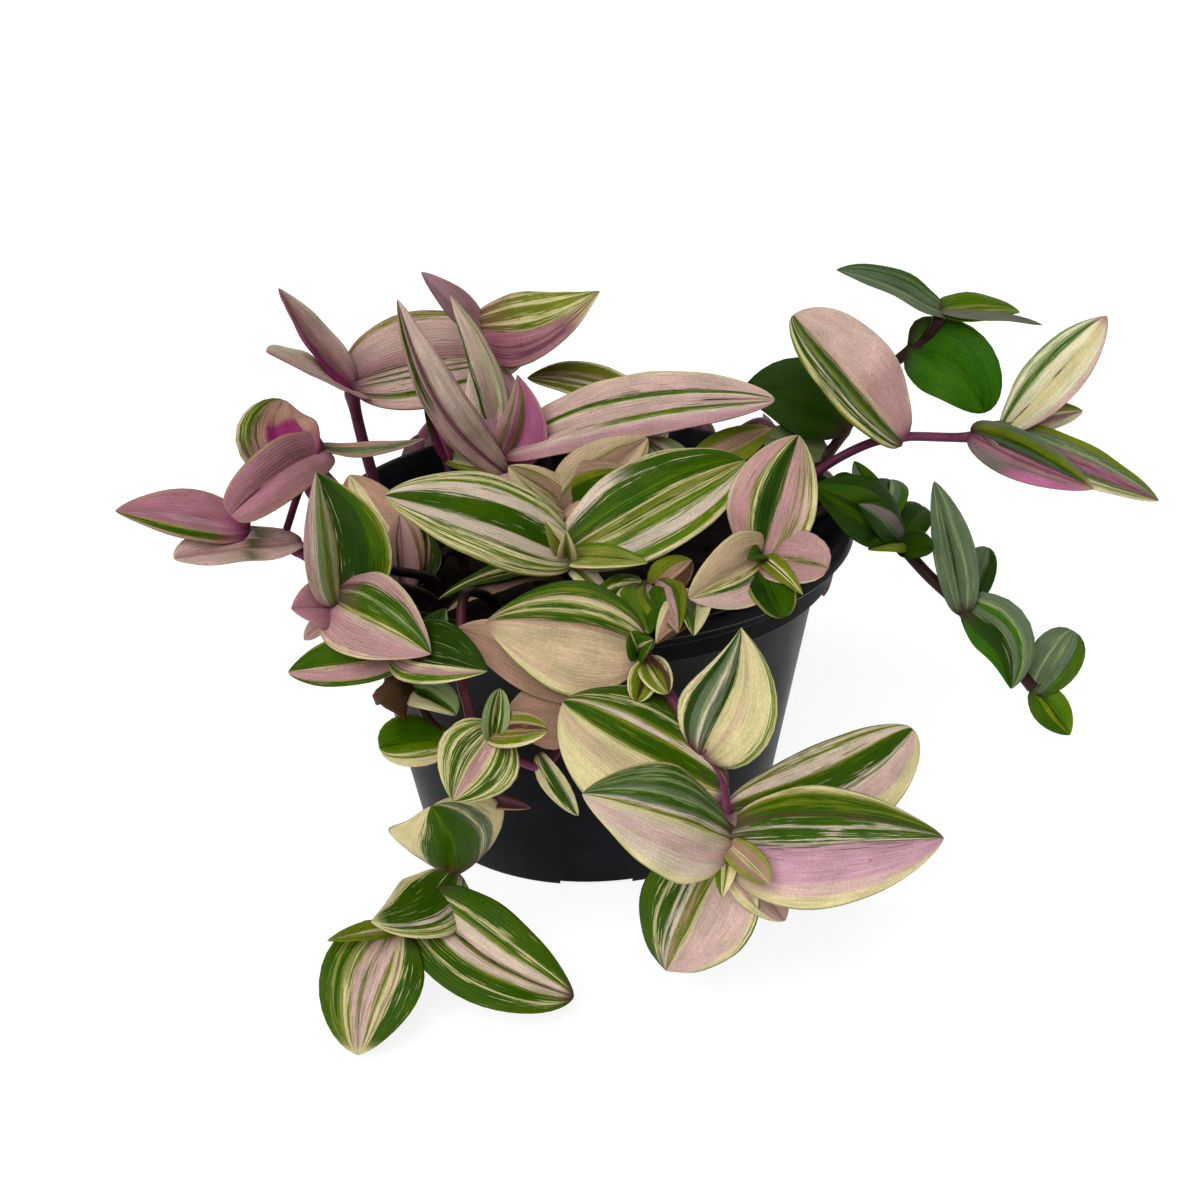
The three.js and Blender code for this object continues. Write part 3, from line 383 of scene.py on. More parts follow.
     "leaves": [
         leaf((447, 459, 43), (424, 405, 40), 6, "K-.4>.5M M.3 U.6 M", fold=40, sky=0, under="M"),
         leaf((448, 456, 43), (482, 402, 52), 17, "K-.62 C-.52 G-.2 C-.1 G.2 C.3 G.6 K", fold=10,
              sky=0.1),
         leaf((448, 462, 42), (500, 474, 34), 6, "S-.2 C.3 O", fold=20, sky=0.4),
     ]},
    {"name": "upper_right", "slot": "foliage_plain", "thick": 3, "foot": (52, 26),
     "path": [(826, 455, 27), (848, 425, 28), (884, 372, 26), (926, 338, 22), (942, 314, 20)],
     "bark": "brown_bark", "old": 24,
     "leaves": [
         leaf((844, 430, 28), (741, 394, 34), 24, "D", fold=10, sky=0.25, sway=0.14, under="Z"),
         leaf((826, 455, 27), (757, 434, 30), 12, "N-.3 D", fold=10, sky=0.2, roll=180, under="S"),
         leaf((904, 344, 24), (985, 413, 8), 23, "N-.02 K.02 N", fold=10, sky=0.1, heel=0.3,
              point=0.5, sway=-0.16, under="Z"),
         leaf((940, 316, 20), (836, 270, 14), 13, "Z-.5 S-.42 Z-.06 K0 Z.4 K.5 Z.7 K", fold=14,
              sky=0.6, under="V"),
         leaf((942, 314, 20), (1043, 325, 10), 11, "G", fold=14, sky=0.8, roll=160, under="V"),
         leaf((942, 314, 20), (1020, 312, 30), 11, "G-.2 Y0 G.3 Y.45 G", fold=10, sky=0.5, heel=0.3,
              under="V"),
     ]},
    {"name": "right", "slot": "foliage_pink", "thick": 2.6, "foot": (46, 6),
     "path": [(800, 492, 3), (820, 470, 2), (868, 444, 2), (900, 437, 3), (970, 437, 3),
              (1005, 431, 3)],
     "old": 24,
     "leaves": [
         leaf((898, 437, 3), (793, 315, 8), 28,
              "O-.93 C-.83 K-.68 W-.62 K-.5 S-.45 O-.36 K-.1 W-.06 K0 J.08 A.97>.45P W", fold=28,
              sky=0.1, roll=24, heel=0.6, point=0.55),
         leaf((1003, 431, 3), (1107, 316, 4), 17, "S-.9 I-.74 S-.62 K-.48 S-.42 I.0 C.5 I.8 A",
              fold=18, sky=0.1, roll=-10, heel=0.8, sway=0.02, tipped="P"),
         leaf((985, 436, 3), (1159, 501, -6), 17,
              "O-.8 Z-.62 S-.54 V-.44 U-.3 E-.22 H-.12 V-.02 I.04>.25V O.3 V.36 O.5 I.6>.35V "
              "Y.8>.35V I>.35V",
              fold=36, sky=0.4, bow=0.05, sway=0.03, blush=0.3),
         leaf((976, 437, 3), (1094, 489, -18), 17,
              "Z-.8 O-.5 K-.35 Z-.04 K.02 E.12 U.22 E.34 U.5 V.62 H>.4V", fold=36, sky=0.2, roll=20,
              blush=0.2, under="U", tipped="T"),
         leaf((1003, 431, 3), (1083, 411, 12), 10, "O-.5 Y-.2 I.1 P.5 I", fold=20, sky=0.3),
     ]},
    # The leaves of this stem are plain green: the grey-green (Z) and silver-green (S) bands in
    # their looks are painted sheen, where their glossy skin catches the light.
    {"name": "right_trailing", "slot": "foliage_plain", "thick": 3.4, "foot": (55, -10),
     "rise": [(66, -10, 93), (74, -11, 98)],
     "path": [(900, 544, -13), (928, 575, -15), (960, 605, -17), (988, 637, -19),
              (1036, 690, -23)],
     "bark": "brown_bark",
     "leaves": [
         leaf((872, 536, -12), (812, 486, -26), 19, "D-.4 K-.1 D.1 K.6 D", fold=12, sky=0.2,
              under="Z"),
         leaf((868, 505, -10), (828, 484, 2), 11, "D", fold=12, sky=0.1, point=0.5, under="D"),
         leaf((890, 530, -12), (854, 461, 4), 9, "Z-.1 D.2 K", fold=20, sky=0.1, under="Z"),
         leaf((880, 524, -12), (890, 480, 6), 12, "D.1 S.3 Z.6 K", fold=12, sky=0.1, point=0.5,
              under="S"),
         leaf((905, 536, -13), (922, 506, 0), 11, "D", fold=12, sky=0.1, point=0.5, under="Z"),
         leaf((905, 534, -13), (858, 504, -24), 11, "D-.2 Z.2 V.7 D", fold=15, sky=0.3, under="D"),
         leaf((900, 545, -13), (868, 550, -28), 9, "O-.2 D", fold=15, sky=0.3, under="Z"),
         leaf((900, 545, -13), (934, 550, -24), 9, "D", fold=15, sky=0.2, point=0.5, under="Z"),
         leaf((963, 606, -17), (934, 481, -8), 14, "Z-.6 S-.5 Z-.3 S-.24 Z0 K.06 Z.4 S.5 Z",
              fold=30, sky=0, roll=10, sway=0.02, under="Z"),
         leaf((966, 606, -17), (987, 547, -4), 11, "Z.4 D", fold=12, sky=0.1, point=0.55,
              under="Z"),
         leaf((974, 602, -18), (1011, 689, -32), 17, "Z-.6 S-.5 N-.3 Z-.05 S0 D.6 N", fold=12,
              sky=0.1, sway=-0.22, under="Z"),
         leaf((1038, 690, -23), (1074, 631, -18), 15, "Z-.4 S-.3 Z-.05 S.03 Z.5 K", fold=10,
              sky=0.1, point=0.45, under="S"),
         leaf((1038, 690, -23), (1070, 735, -30), 11, "G-.3 K0 O.3 K", fold=15, sky=0.1, under="Z"),
         leaf((962, 620, -17), (980, 637, -24), 6, "U.2 V", sky=0.2, under="U"),
     ]},
    {"name": "front_right", "slot": "foliage_pink", "thick": 2.6, "foot": (33, -28),
     "rise": [(38, -38, 88)], "path": [(764, 566, -50), (762, 556, -52)],
     "leaves": [
         leaf((763, 556, -52), (799, 435, -44), 24,
              "C-.95 P-.5 O-.42 C-.37 K-.26 D0 K.13 P.46 O.5 P.62 O.68 A.8 O.88 C", fold=12,
              sky=0.05, roll=-10, sway=-0.03, heel=0.6),
         leaf((763, 562, -52), (688, 598, -70), 21, "C-.94 A-.42 K-.32 C-.26 O-.16 J.94 C", fold=24,
              sky=0.1, roll=-20, point=0.7, blush=0.2),
         leaf((763, 562, -52), (829, 568, -66), 16, "P-.1 O0>.4P C.06>.4P O.16>.4P P.92 C", fold=14,
              sky=0.3, point=0.4, blush=1, reach=0.5),
         leaf((764, 564, -52), (803, 595, -72), 6, "O-.4 C-.2 K.1 C.3 O", fold=25, sky=0.3),
         leaf((763, 558, -52), (747, 560, -62), 6, "K-.3 Z.2 K", fold=30, sky=0.2),
         leaf((764, 566, -50), (784, 618, -74), 12, "Y-.9 K.3 D.86 Y", fold=10, sky=0.3, point=0.4),
     ]},
    {"name": "front_middle", "slot": "foliage_green", "thick": 2.2, "foot": (12, -36),
     "path": [(632, 592, -53), (655, 588, -57), (698, 600, -58)],
     "leaves": [
         leaf((630, 592, -54), (650, 634, -80), 14, "K.2 G.85 C", fold=10, sky=0.2),
         leaf((630, 594, -54), (590, 604, -60), 10, "K.3 C.5 K", fold=14, sky=0.4),
         leaf((655, 588, -58), (678, 633, -80), 14, "O-.7 K-.5 P.4 K.6 O", fold=14, sky=0.2),
         leaf((655, 588, -58), (692, 560, -50), 11, "O-.3 T.3 B", fold=14, sky=0.3),
         leaf((694, 598, -59), (656, 644, -84), 10, "B-.4 T.6 C", fold=10, sky=0.2, under="B"),
         leaf((696, 600, -60), (694, 636, -82), 9, "C-.1 K.9 C", fold=14, sky=0.2),
     ]},
    {"name": "front_arching", "slot": "foliage_pink", "thick": 2.8, "foot": (0, -50),
     "rise": [(-1, -61, 95), (1, -72, 98)],
     "path": [(638, 645, -82), (662, 684, -89), (695, 735, -97), (722, 790, -105),
              (729, 846, -113)],
     "leaves": [
         leaf((634, 660, -83), (485, 623, -84), 32,
              "O-.96 C-.8 J.1 T.18 K.32 O.38 C.42 K.5 O.54 C.6 J.66 K.74 O.82 K", fold=-24,
              sky=0.35, bow=0.1, roll=-14, tipped="T"),
         leaf((640, 650, -83), (630, 631, -90), 9, "K-.3 C0 K", fold=30, sky=0.1, point=0.5),
         leaf((640, 650, -83), (653, 640, -92), 8, "K-.3 C0 K", fold=30, sky=0.1, point=0.5),
         leaf((648, 664, -86), (636, 702, -94), 9, "C-.8 O-.3 B.2 O.8 C", fold=30, sky=0.1,
              point=0.5),
         leaf((648, 664, -86), (668, 694, -96), 9, "C-.8 B-.3 O.2 C.4 O.85 C", fold=30, sky=0.1,
              point=0.5),
         leaf((700, 742, -98), (697, 677, -94), 4, "K.2 C", fold=20, sky=0),
         leaf((706, 750, -100), (741, 627, -86), 25,
              "C-.84 D-.66 Z-.5 S-.42 W-.36 Z-.2 D-.12 C.15 J.3 C.86 G.95 C", fold=12, sky=0,
              sway=0.1, heel=0.5, point=1.1, under="S"),
         leaf((722, 790, -104), (563, 702, -96), 37,
              "C-.5 J-.2 C-.08 O-.03 K.2 O.26 W.34 O.4 K.56 C.6 K.97 C", fold=-22, sky=0.3,
              heel=0.45, point=0.55, sway=-0.03),
         leaf((728, 842, -112), (582, 794, -130), 30,
              "C-.86 W-.6 A-.3 W-.14 C-.05 O.02 W.08 Z.16 K.3 S.36 Z.46 K.56 S.62 K.74 S.8 K.94 C",
              fold=-18, sky=0.3, bow=0.12, blush=0.25),
         leaf((725, 812, -108), (913, 729, -76), 25,
              "O-.95 W-.88 O-.78 W-.52 O-.46 K.04 W.1 K.14 W.2 A.62 C", fold=14, sky=0.12, sway=0.1,
              bow=-0.02, heel=0.6, point=0.6),
         leaf((729, 844, -112), (944, 838, -124), 31,
              "C-.9 O-.8 K-.7 O-.62 K-.5 B-.46 K-.3 W-.27 K-.04 W0 D.02 R.6 A.8 C", fold=-14,
              sky=0.18, bow=0.1, sway=0.03, heel=0.45, point=0.75, blush=0.25),
         leaf((728, 846, -113), (666, 971, -104), 30,
              "K-.97 C-.86 A-.1 C-.02 O.12 T.18 O.24 W.33 K.38 W.43 K.62 C.66 K", fold=14, sky=0,
              point=0.95, blush=0.2),
         leaf((729, 846, -113), (722, 897, -122), 7, "C-.4 O.1 C.5 G", fold=35, sky=0.1, under="T"),
         leaf((729, 846, -113), (769, 884, -128), 9, "Y-.7 T-.2 C.3 T.7 Y", fold=30, sky=0.2,
              point=0.4, under="T"),
         leaf((729, 846, -113), (785, 921, -118), 14, "P.7 C", fold=14, sky=0.1, under="P"),
     ]},
    {"name": "front_low", "slot": "foliage_cream", "thick": 2.4, "foot": (-8, -46),
     "rise": [(-9, -60, 95), (-9, -72, 98)],
     "path": [(590, 664, -80), (582, 700, -78), (565, 738, -78), (545, 764, -80),
              (518, 760, -84), (494, 735, -86)],
     "leaves": [
         leaf((588, 690, -78), (457, 628, -72), 17, "T.92 J", fold=10, sky=0, sway=0.04),
         leaf((575, 712, -78), (506, 712, -83), 19, "T", fold=10, sky=0),
         leaf((494, 735, -86), (453, 801, -98), 22,
              "C-.92 G-.8 C-.72 K-.42 C-.36 O-.3 C-.24 P.12 C.18 K.3 C.36 K.62 C.7 G.84 C", fold=14,
              sky=0.1, heel=0.55),
         leaf((494, 735, -86), (548, 730, -98), 10, "T-.85 O-.5 T-.36 B-.1 T.1 O.3 T.42 O.8 C",
              fold=20, sky=0.2, point=0.5),
         leaf((494, 735, -86), (500, 688, -88), 10, "S-.6 K-.4 C-.28 K-.05 C.08 K.3 C.4 K.6 S",
              fold=45, sky=0, point=0.45),
         leaf((494, 735, -86), (438, 758, -88), 13, "C-.8 K.5 G.9 C", fold=10, sky=0.2),
         leaf((546, 762, -80), (578, 816, -84), 9, "C-.5 Z0 K.5 C", fold=20, sky=0, roll=40),
     ]},
    {"name": "front_trailing", "slot": "foliage_green", "thick": 2.6, "foot": (-24, -46),
     "rise": [(-28, -58, 94), (-31, -66, 96.5)],
     "path": [(462, 684, -76), (468, 706, -75), (476, 760, -74), (482, 808, -73),
              (472, 845, -76), (452, 870, -84), (425, 902, -95), (394, 933, -104)],
     "bark": "red_bark",
     "leaves": [
         leaf((483, 803, -76), (531, 808, -80), 5, "B-.6 E.3 B.8 T", fold=20, sky=0.1),
         leaf((455, 872, -84), (432, 806, -92), 38, "C-.45 K-.02 G.02 K.4 Z.46 C.5 Z.68 C",
              fold=-36, sky=0.3, roll=-14, sway=0.06, heel=0.25, point=0.7, under="C"),
         leaf((452, 873, -86), (371, 922, -112), 20, "C-.88 G-.74 C-.66 K-.52 W-.4 K.7 C", fold=-14,
              sky=0.3, sway=-0.14, tipped="C"),
         leaf((395, 932, -104), (358, 1055, -127), 26,
              "K-.5 C-.44 U-.38 C-.3 O-.22 A.08 G.15 A.34 O.42 C.5 Y.58 K.7 Y.76 K", fold=10,
              sky=0.2, point=0.7, sway=0.06, tipped="C"),
         leaf((396, 931, -104), (327, 941, -114), 7, "O-.6 Y0 C.3 O", fold=40, sky=0.3, under="Y"),
         leaf((424, 903, -95), (574, 997, -112), 26,
              "K-.52 C-.48 K-.38 O-.3 W-.12 A-.05 D.02 O.07 A.14 W.3 O.36 K.62 C.65 K", fold=10,
              sky=0.3, heel=0.4, point=0.65, sway=0.09, tipped="B"),
     ]},
]

# The stems that hang over the back of the pot, and the short ones between them and the middle.
HANGING_STEMS = [
    {"name": "back_a", "bearing": 45, "drop": 40, "pairs": 2, "first": 1, "slot": "foliage_green"},
    {"name": "back_b", "bearing": 65, "drop": 58, "pairs": 3, "first": 1, "slot": "foliage_pink"},
    {"name": "back_c", "bearing": 84, "drop": 48, "pairs": 3, "first": 1, "slot": "foliage_green"},
    {"name": "back_d", "bearing": 103, "drop": 60, "pairs": 3, "first": 1, "slot": "foliage_cream"},
    {"name": "back_e", "bearing": 126, "drop": 44, "pairs": 2, "first": -1, "slot": "foliage_pink"},
]
SHORT_STEMS = [
    {"name": "short_a", "foot": (12, 29), "tall": 13, "turn": 49, "slot": "foliage_green"},
    {"name": "short_b", "foot": (-31, 5), "tall": 12, "turn": 20, "slot": "foliage_pink"},
    {"name": "short_c", "foot": (27, 9), "tall": 12, "turn": 10, "slot": "foliage_cream"},
]

# A hanging stem rises inside the rim, crosses it at the crest and hangs outside the wall, in radii
# and heights. Its leaves' tips lie out, aside and down from their bases, by amounts that change
# from the first leaf to the last.
HANGING_THICK = 2.8
HANGING_FOOT_RADIUS = 46
INSIDE = (57, POT_HEIGHT + 2)
CREST_RADII = (67, 77)
OUTSIDE = (85, CREST - 8)
HALFWAY_RADIUS = 88
END_RADIUS = 87
BEARING_RADIUS = 80
FIRST_LEAF_DROP = 8
FIRST_LEAF = {"out": 17, "aside": 15, "down": 18, "width": 20}
LAST_LEAF = {"out": 12, "aside": 8, "down": 24, "width": 17}
HANGING_LEAF = {"sky": 0, "fold": 14, "bow": 0.12}
HANGING_LEAF_ROLL = 8
OUTWARD_TILT = 0.4

# A short stem bears its leaves crosswise, each a step below the last.
SHORT_STEM_LEAVES = 4
SHORT_THICK = 2.4
LEAF_STEP = 2.5
SHORT_LEAF_WIDTH = 14
SHORT_LEAF = {"sky": 1, "fold": 16, "bow": 0.1}
SHORT_LEAF_REACH = 20
SHORT_LEAF_RISE = 6

# The looks that the leaves of the stems behind take, by the finish of their stem.
KIND_LOOKS = {
    "foliage_pink": [
        "C-.9 P-.4 K-.25 C-.15 P.3 G.45 W.6 P.9 C",
        "C-.85 G-.6 W-.1 P.4 U.5 P.9 C",
        "P-.6 O-.5 P0 K.15 C.2 P.8 C",
    ],
    "foliage_green": [
        "C-.9 K-.4 C-.35 G-.05 W.15 K.6 C.66 G.92 C",
        "C-.8 G-.62 W-.4 K.4 W.62 G.9 C",
        "K-.5 C-.44 G-.2 T-.1 W.15 K.7 C.75 G.93 C",
    ],
    "foliage_cream": [
        "C-.2 K0 C.05 G.3 C.9 Y",
        "C-.85 O-.7 C-.1 Z.1 C.15 K.35 C",
        "W-.5 G-.3 C.3 O.4 C.9 Y",
    ],
}


def linear(code):
    """Linear red, green and blue of an sRGB hex colour."""
    parts = [int(code[i:i + 2], 16) / 255 for i in (1, 3, 5)]
    return tuple(p / 12.92 if p <= 0.04045 else ((p + 0.055) / 1.055) ** 2.4 for p in parts)


class PotProperties(bpy.types.PropertyGroup):
    """The nursery pot and its soil."""

    wall: FloatProperty(
        name="Wall thickness", description="Thickness of the moulded wall",
        default=1.4 * MM, unit="LENGTH",
    )
    sides: IntProperty(name="Sides", description="Steps round the pot", default=128, min=32)
    plastic: FloatVectorProperty(
        name="Plastic", description="Colour of the black plastic",
        default=linear("#08090b"), subtype="COLOR", size=3, min=0, max=1,
    )
    crumbs: IntProperty(name="Crumbs", description="Loose crumbs on the soil", default=420, min=0)
    soil: FloatVectorProperty(
        name="Soil", description="Colour of the moist peat",
        default=linear("#150f0b"), subtype="COLOR", size=3, min=0, max=1,
    )


class FoliageProperties(bpy.types.PropertyGroup):
    """The leaves and stems."""

    blade: FloatProperty(
        name="Blade thickness", description="Thickness of a leaf near its midrib",
        default=0.55 * MM, unit="LENGTH",
    )
    arch: FloatProperty(
        name="Arch", description="How much each half of a leaf bulges between midrib and margin",
        default=math.radians(15), unit="ROTATION",
    )
    ripple: FloatProperty(
        name="Margin ripple", description="Height of the waves along the margins",
        default=0.35 * MM, unit="LENGTH",
    )
    vein_spacing: FloatProperty(
        name="Vein spacing", description="Distance between the fine parallel veins",
        default=0.9 * MM, unit="LENGTH",
    )
    swelling: FloatProperty(
        name="Node swelling", description="How much thicker a stem is where a leaf leaves it",
        default=0.22, min=0, max=1, subtype="FACTOR",
    )


class TissueProperties(bpy.types.PropertyGroup):
    """The colours of the bands on the leaves."""

    __annotations__ = {
        name: FloatVectorProperty(
            name=name.replace("_", " ").capitalize(), description="Colour of this leaf tissue",
            default=linear(code), subtype="COLOR", size=3, min=0, max=1,
        )
        for name, code in TISSUES.values()
    }


class StageProperties(bpy.types.PropertyGroup):
    """The floor and the light."""

    floor: FloatVectorProperty(
        name="Floor", description="Colour of the floor",
        default=linear("#8c8c8b"), subtype="COLOR", size=3, min=0, max=1,
    )
    reach: FloatProperty(
        name="Reach", description="From the middle of the floor to its edge",
        default=8, min=4, unit="LENGTH",
    )
    edge: FloatProperty(
        name="Edge", description="Height of the floor's raised edge",
        default=1.5, min=0, unit="LENGTH",
    )
    key: FloatProperty(
        name="Key light", description="Strength of the broad light from above",
        default=3.1, min=0,
    )
    fill: FloatProperty(
        name="Fill light", description="Strength of the broad light from behind",
        default=1.0, min=0,
    )
    spread: FloatProperty(
        name="Spread", description="Angle that each broad light fills",
        default=math.radians(50), unit="ROTATION",
    )
    # the floor's glow is painted light: it keeps the floor white and fades the shadows on it
    floor_glow: FloatProperty(
        name="Backlight", description="Strength of the light from below the floor",
        default=0.85, min=0,
    )
    sky: FloatProperty(
        name="Surroundings", description="Strength of the white surroundings",
        default=0.05, min=0,
    )


def add(tree, kind, settings=None, inputs=None):
    """Adds a node with its settings, and sets or links its inputs."""
    made = tree.nodes.new(kind)
    for key, value in (settings or {}).items():
        setattr(made, key, value)
    for key, value in (inputs or {}).items():
        if isinstance(value, bpy.types.NodeSocket):
            tree.links.new(value, made.inputs[key])
        else:
            made.inputs[key].default_value = value
    return made


def new_material(name):
    """A material with an empty node tree and its output node."""
    material = bpy.data.materials.new(name)
    material.use_nodes = True
    material.node_tree.nodes.clear()
    return material, material.node_tree


def stretched(tree, place, scale):
    """A place scaled in each direction, to stretch what is drawn there."""
    made = add(tree, "ShaderNodeMapping", None, {"Vector": place, "Scale": scale})
    return made.outputs["Vector"]


def mottle(tree, place, scale, detail, roughness=0.5):
    """An uneven pattern of patches, 1 / scale wide."""
    made = add(tree, "ShaderNodeTexNoise", None, {
        "Vector": place, "Scale": scale, "Detail": detail, "Roughness": roughness})
    return made.outputs["Fac"]


def ranged(tree, value, low, high, least=0.0, most=1.0):
    """A value between low and high, brought to between least and most."""
    made = add(tree, "ShaderNodeMapRange", None, {
        "Value": value, "From Min": low, "From Max": high, "To Min": least, "To Max": most})
    return made.outputs["Result"]


def reckoned(tree, operation, *values):
    """The result of an operation on two or three values."""
    made = add(tree, "ShaderNodeMath", {"operation": operation}, dict(enumerate(values)))
    return made.outputs["Value"]


def mixed(tree, part, first, second):
    """The colour at a part of the way from the first to the second."""
    # a colour mix has its part at input 0, its colours at 6 and 7 and its result at output 2
    made = add(tree, "ShaderNodeMix", {"data_type": "RGBA"}, {0: part, 6: first, 7: second})
    return made.outputs[2]


def bumped(tree, height, strength, depth):
    """The surface's direction where a height bumps it, by up to a depth in millimetres."""
    made = add(tree, "ShaderNodeBump", None, {
        "Height": height, "Strength": strength, "Distance": depth * MM})
    return made.outputs["Normal"]


def surface(tree, inputs):
    """Ends a material with a surface of these inputs."""
    shader = add(tree, "ShaderNodeBsdfPrincipled", None, inputs)
    add(tree, "ShaderNodeOutputMaterial", None, {"Surface": shader.outputs["BSDF"]})


def leaf_tissue(spacing):
    """Living leaf tissue: grown in parallel strips under a thin waxy skin, so that strands of one
    colour run into the next along its length, with fine veins, the grain of its large skin cells, a
    faint broad shine and a little light that passes through."""
    material, tree = new_material("living_leaf_tissue")
    colour = add(tree, "ShaderNodeAttribute", {"attribute_name": "leaf_colour"})
    strand_colour = add(tree, "ShaderNodeAttribute", {"attribute_name": "strand_colour"})
    # in millimetres: across the blade, along it, and a number of its own for each leaf
    place = add(tree, "ShaderNodeAttribute", {"attribute_name": "leaf_place"}).outputs["Vector"]
    # strands 0.4 by 12 mm, streaks 0.3 by 8 mm and clouds 5 by 10 mm
    strands = mottle(tree, stretched(tree, place, (2.7, 0.085, 1)), 1.0, 5.0, 0.62)
    streaks = mottle(tree, stretched(tree, place, (3.4, 0.12, 1)), 1.0, 3.0, 0.6)
    clouds = mottle(tree, stretched(tree, place, (0.2, 0.1, 1)), 1.0, 3.0)
    veins = add(tree, "ShaderNodeTexWave", {"bands_direction": "X"}, {
        "Vector": place, "Scale": WAVE_LENGTH / (spacing / MM), "Distortion": 0.5, "Detail": 1.0})
    # how many strands of the other colour there are is kept in the alpha of strand_colour
    limit = reckoned(tree, "MULTIPLY_ADD", strand_colour.outputs["Alpha"], -0.3, 0.74)
    excess = reckoned(tree, "SUBTRACT", strands, limit)
    strand = ranged(tree, excess, -0.015, 0.05, 0.0, 0.9)
    tissue = mixed(tree, strand, colour.outputs["Color"], strand_colour.outputs["Color"])
    # dark specks half a millimetre wide, some 9 mm apart, and a grain of 0.6 mm
    cells = add(tree, "ShaderNodeTexVoronoi", None, {"Vector": place, "Scale": 0.11})
    speck = ranged(tree, cells.outputs["Distance"], 0.022, 0.04, 0.45, 1.0)
    grain = mottle(tree, place, 1.7, 2.0)
    # the streaks, clouds, specks and grain make the tissue lighter and darker, and the clouds
    # shift its hue and its shine as well
    light = ranged(tree, streaks, 0.3, 0.7, 0.8, 1.15)
    light = reckoned(tree, "MULTIPLY", light, ranged(tree, clouds, 0.3, 0.7, 0.82, 1.14))
    light = reckoned(tree, "MULTIPLY", light, speck)
    light = reckoned(tree, "MULTIPLY", light, ranged(tree, grain, 0.3, 0.7, 0.88, 1.12))
    tinted = add(tree, "ShaderNodeHueSaturation", None, {
        "Color": tissue, "Value": light, "Hue": ranged(tree, clouds, 0.3, 0.7, 0.513, 0.488),
        "Saturation": 1.04})
    relief = reckoned(tree, "ADD", veins.outputs["Fac"], streaks)
    relief = reckoned(tree, "MULTIPLY_ADD", grain, 0.6, relief)
    surface(tree, {
        "Base Color": tinted.outputs["Color"], "Normal": bumped(tree, relief, 0.5, 0.12),
        "Roughness": ranged(tree, clouds, 0.3, 0.7, 0.4, 0.55), "IOR": 1.42,
        "Specular IOR Level": 0.08, "Subsurface Weight": 0.1,
        "Subsurface Radius": (1.4, 1.2, 0.5), "Subsurface Scale": MM})
    return material


def stem_skin():
    """The smooth juicy skin of a soft stem: evenly coloured along short stretches, finely
    streaked, with a waxy shine."""
    material, tree = new_material("succulent_stem_skin")
    colour = add(tree, "ShaderNodeAttribute", {"attribute_name": "leaf_colour"})
    place = add(tree, "ShaderNodeAttribute", {"attribute_name": "leaf_place"}).outputs["Vector"]
    # streaks 0.8 mm wide and 8 mm long
    streaks = mottle(tree, stretched(tree, place, (1.2, 0.12, 1)), 1.0, 3.0)
    tinted = add(tree, "ShaderNodeHueSaturation", None, {
        "Color": colour.outputs["Color"], "Value": ranged(tree, streaks, 0.3, 0.7, 0.75, 1.2)})
    surface(tree, {
        "Base Color": tinted.outputs["Color"], "Normal": bumped(tree, streaks, 0.3, 0.15),
        "Roughness": 0.38, "IOR": 1.42, "Specular IOR Level": 0.12})
    return material


def pot_plastic(colour):
    """Black polypropylene, injection moulded: nearly black with a satin skin that turns grey
    where light grazes it, a fine grain, and pale scuffs and dust from handling."""
    material, tree = new_material("moulded_black_polypropylene")
    place = add(tree, "ShaderNodeTexCoord").outputs["Object"]
    grain = mottle(tree, place, 1 / (0.7 * MM), 2.0)
    patches = mottle(tree, place, 1 / (22 * MM), 5.0, 0.65)
    # scuffs 17 mm long round the pot and 2.4 mm high
    scuffs = mottle(tree, stretched(tree, place, (60, 60, 420)), 1.0, 6.0, 0.7)
    worn = ranged(tree, scuffs, 0.58, 0.78, 0.0, 0.55)
    dusty = ranged(tree, patches, 0.4, 0.75, 0.0, 0.35)
    amount = reckoned(tree, "MAXIMUM", worn, dusty)
    surface(tree, {
        "Base Color": mixed(tree, amount, (*colour, 1), (*linear("#262a31"), 1)),
        "Normal": bumped(tree, grain, 0.25, 0.08),
        "Roughness": ranged(tree, patches, 0.3, 0.7, 0.34, 0.5), "IOR": 1.49,
        "Specular IOR Level": 0.05, "Sheen Weight": 0.16, "Sheen Roughness": 0.2,
        "Sheen Tint": (*linear("#a9b4c8"), 1)})
    return material


def moist_peat(colour):
    """Moist potting peat: milled and loose, so that it is dull and dark with paler fibres and
    fragments."""
    material, tree = new_material("moist_peat")
    place = add(tree, "ShaderNodeTexCoord").outputs["Object"]
    crumbs = mottle(tree, place, 1 / (2.4 * MM), 6.0, 0.7)
    fibres = add(tree, "ShaderNodeTexVoronoi", None, {"Vector": place, "Scale": 1 / (3.2 * MM)})
    damp = (*(c * 0.55 for c in colour), 1)
    dry = (*(min(1, c * 2.4) for c in colour), 1)
    height = reckoned(tree, "SUBTRACT", crumbs, fibres.outputs["Distance"])
    surface(tree, {
        "Base Color": mixed(tree, ranged(tree, crumbs, 0.35, 0.72), damp, dry),
        "Normal": bumped(tree, height, 0.8, 0.8), "Roughness": 0.95, "IOR": 1.4,
        "Specular IOR Level": 0.08})
    return material


def finished(name, bm, materials, node):
    """Makes a piece of a bmesh, smooth, which rides on the root body and replaces a node."""
    mesh = bpy.data.meshes.new(name)
    for face in bm.faces:
        face.smooth = True
    bm.to_mesh(mesh)
    bm.free()
    piece = bpy.data.objects.new(name, mesh)
    bpy.context.scene.collection.objects.link(piece)
    for material in materials:
        mesh.materials.append(material)
    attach(piece, "root")
    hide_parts(node)
    return piece


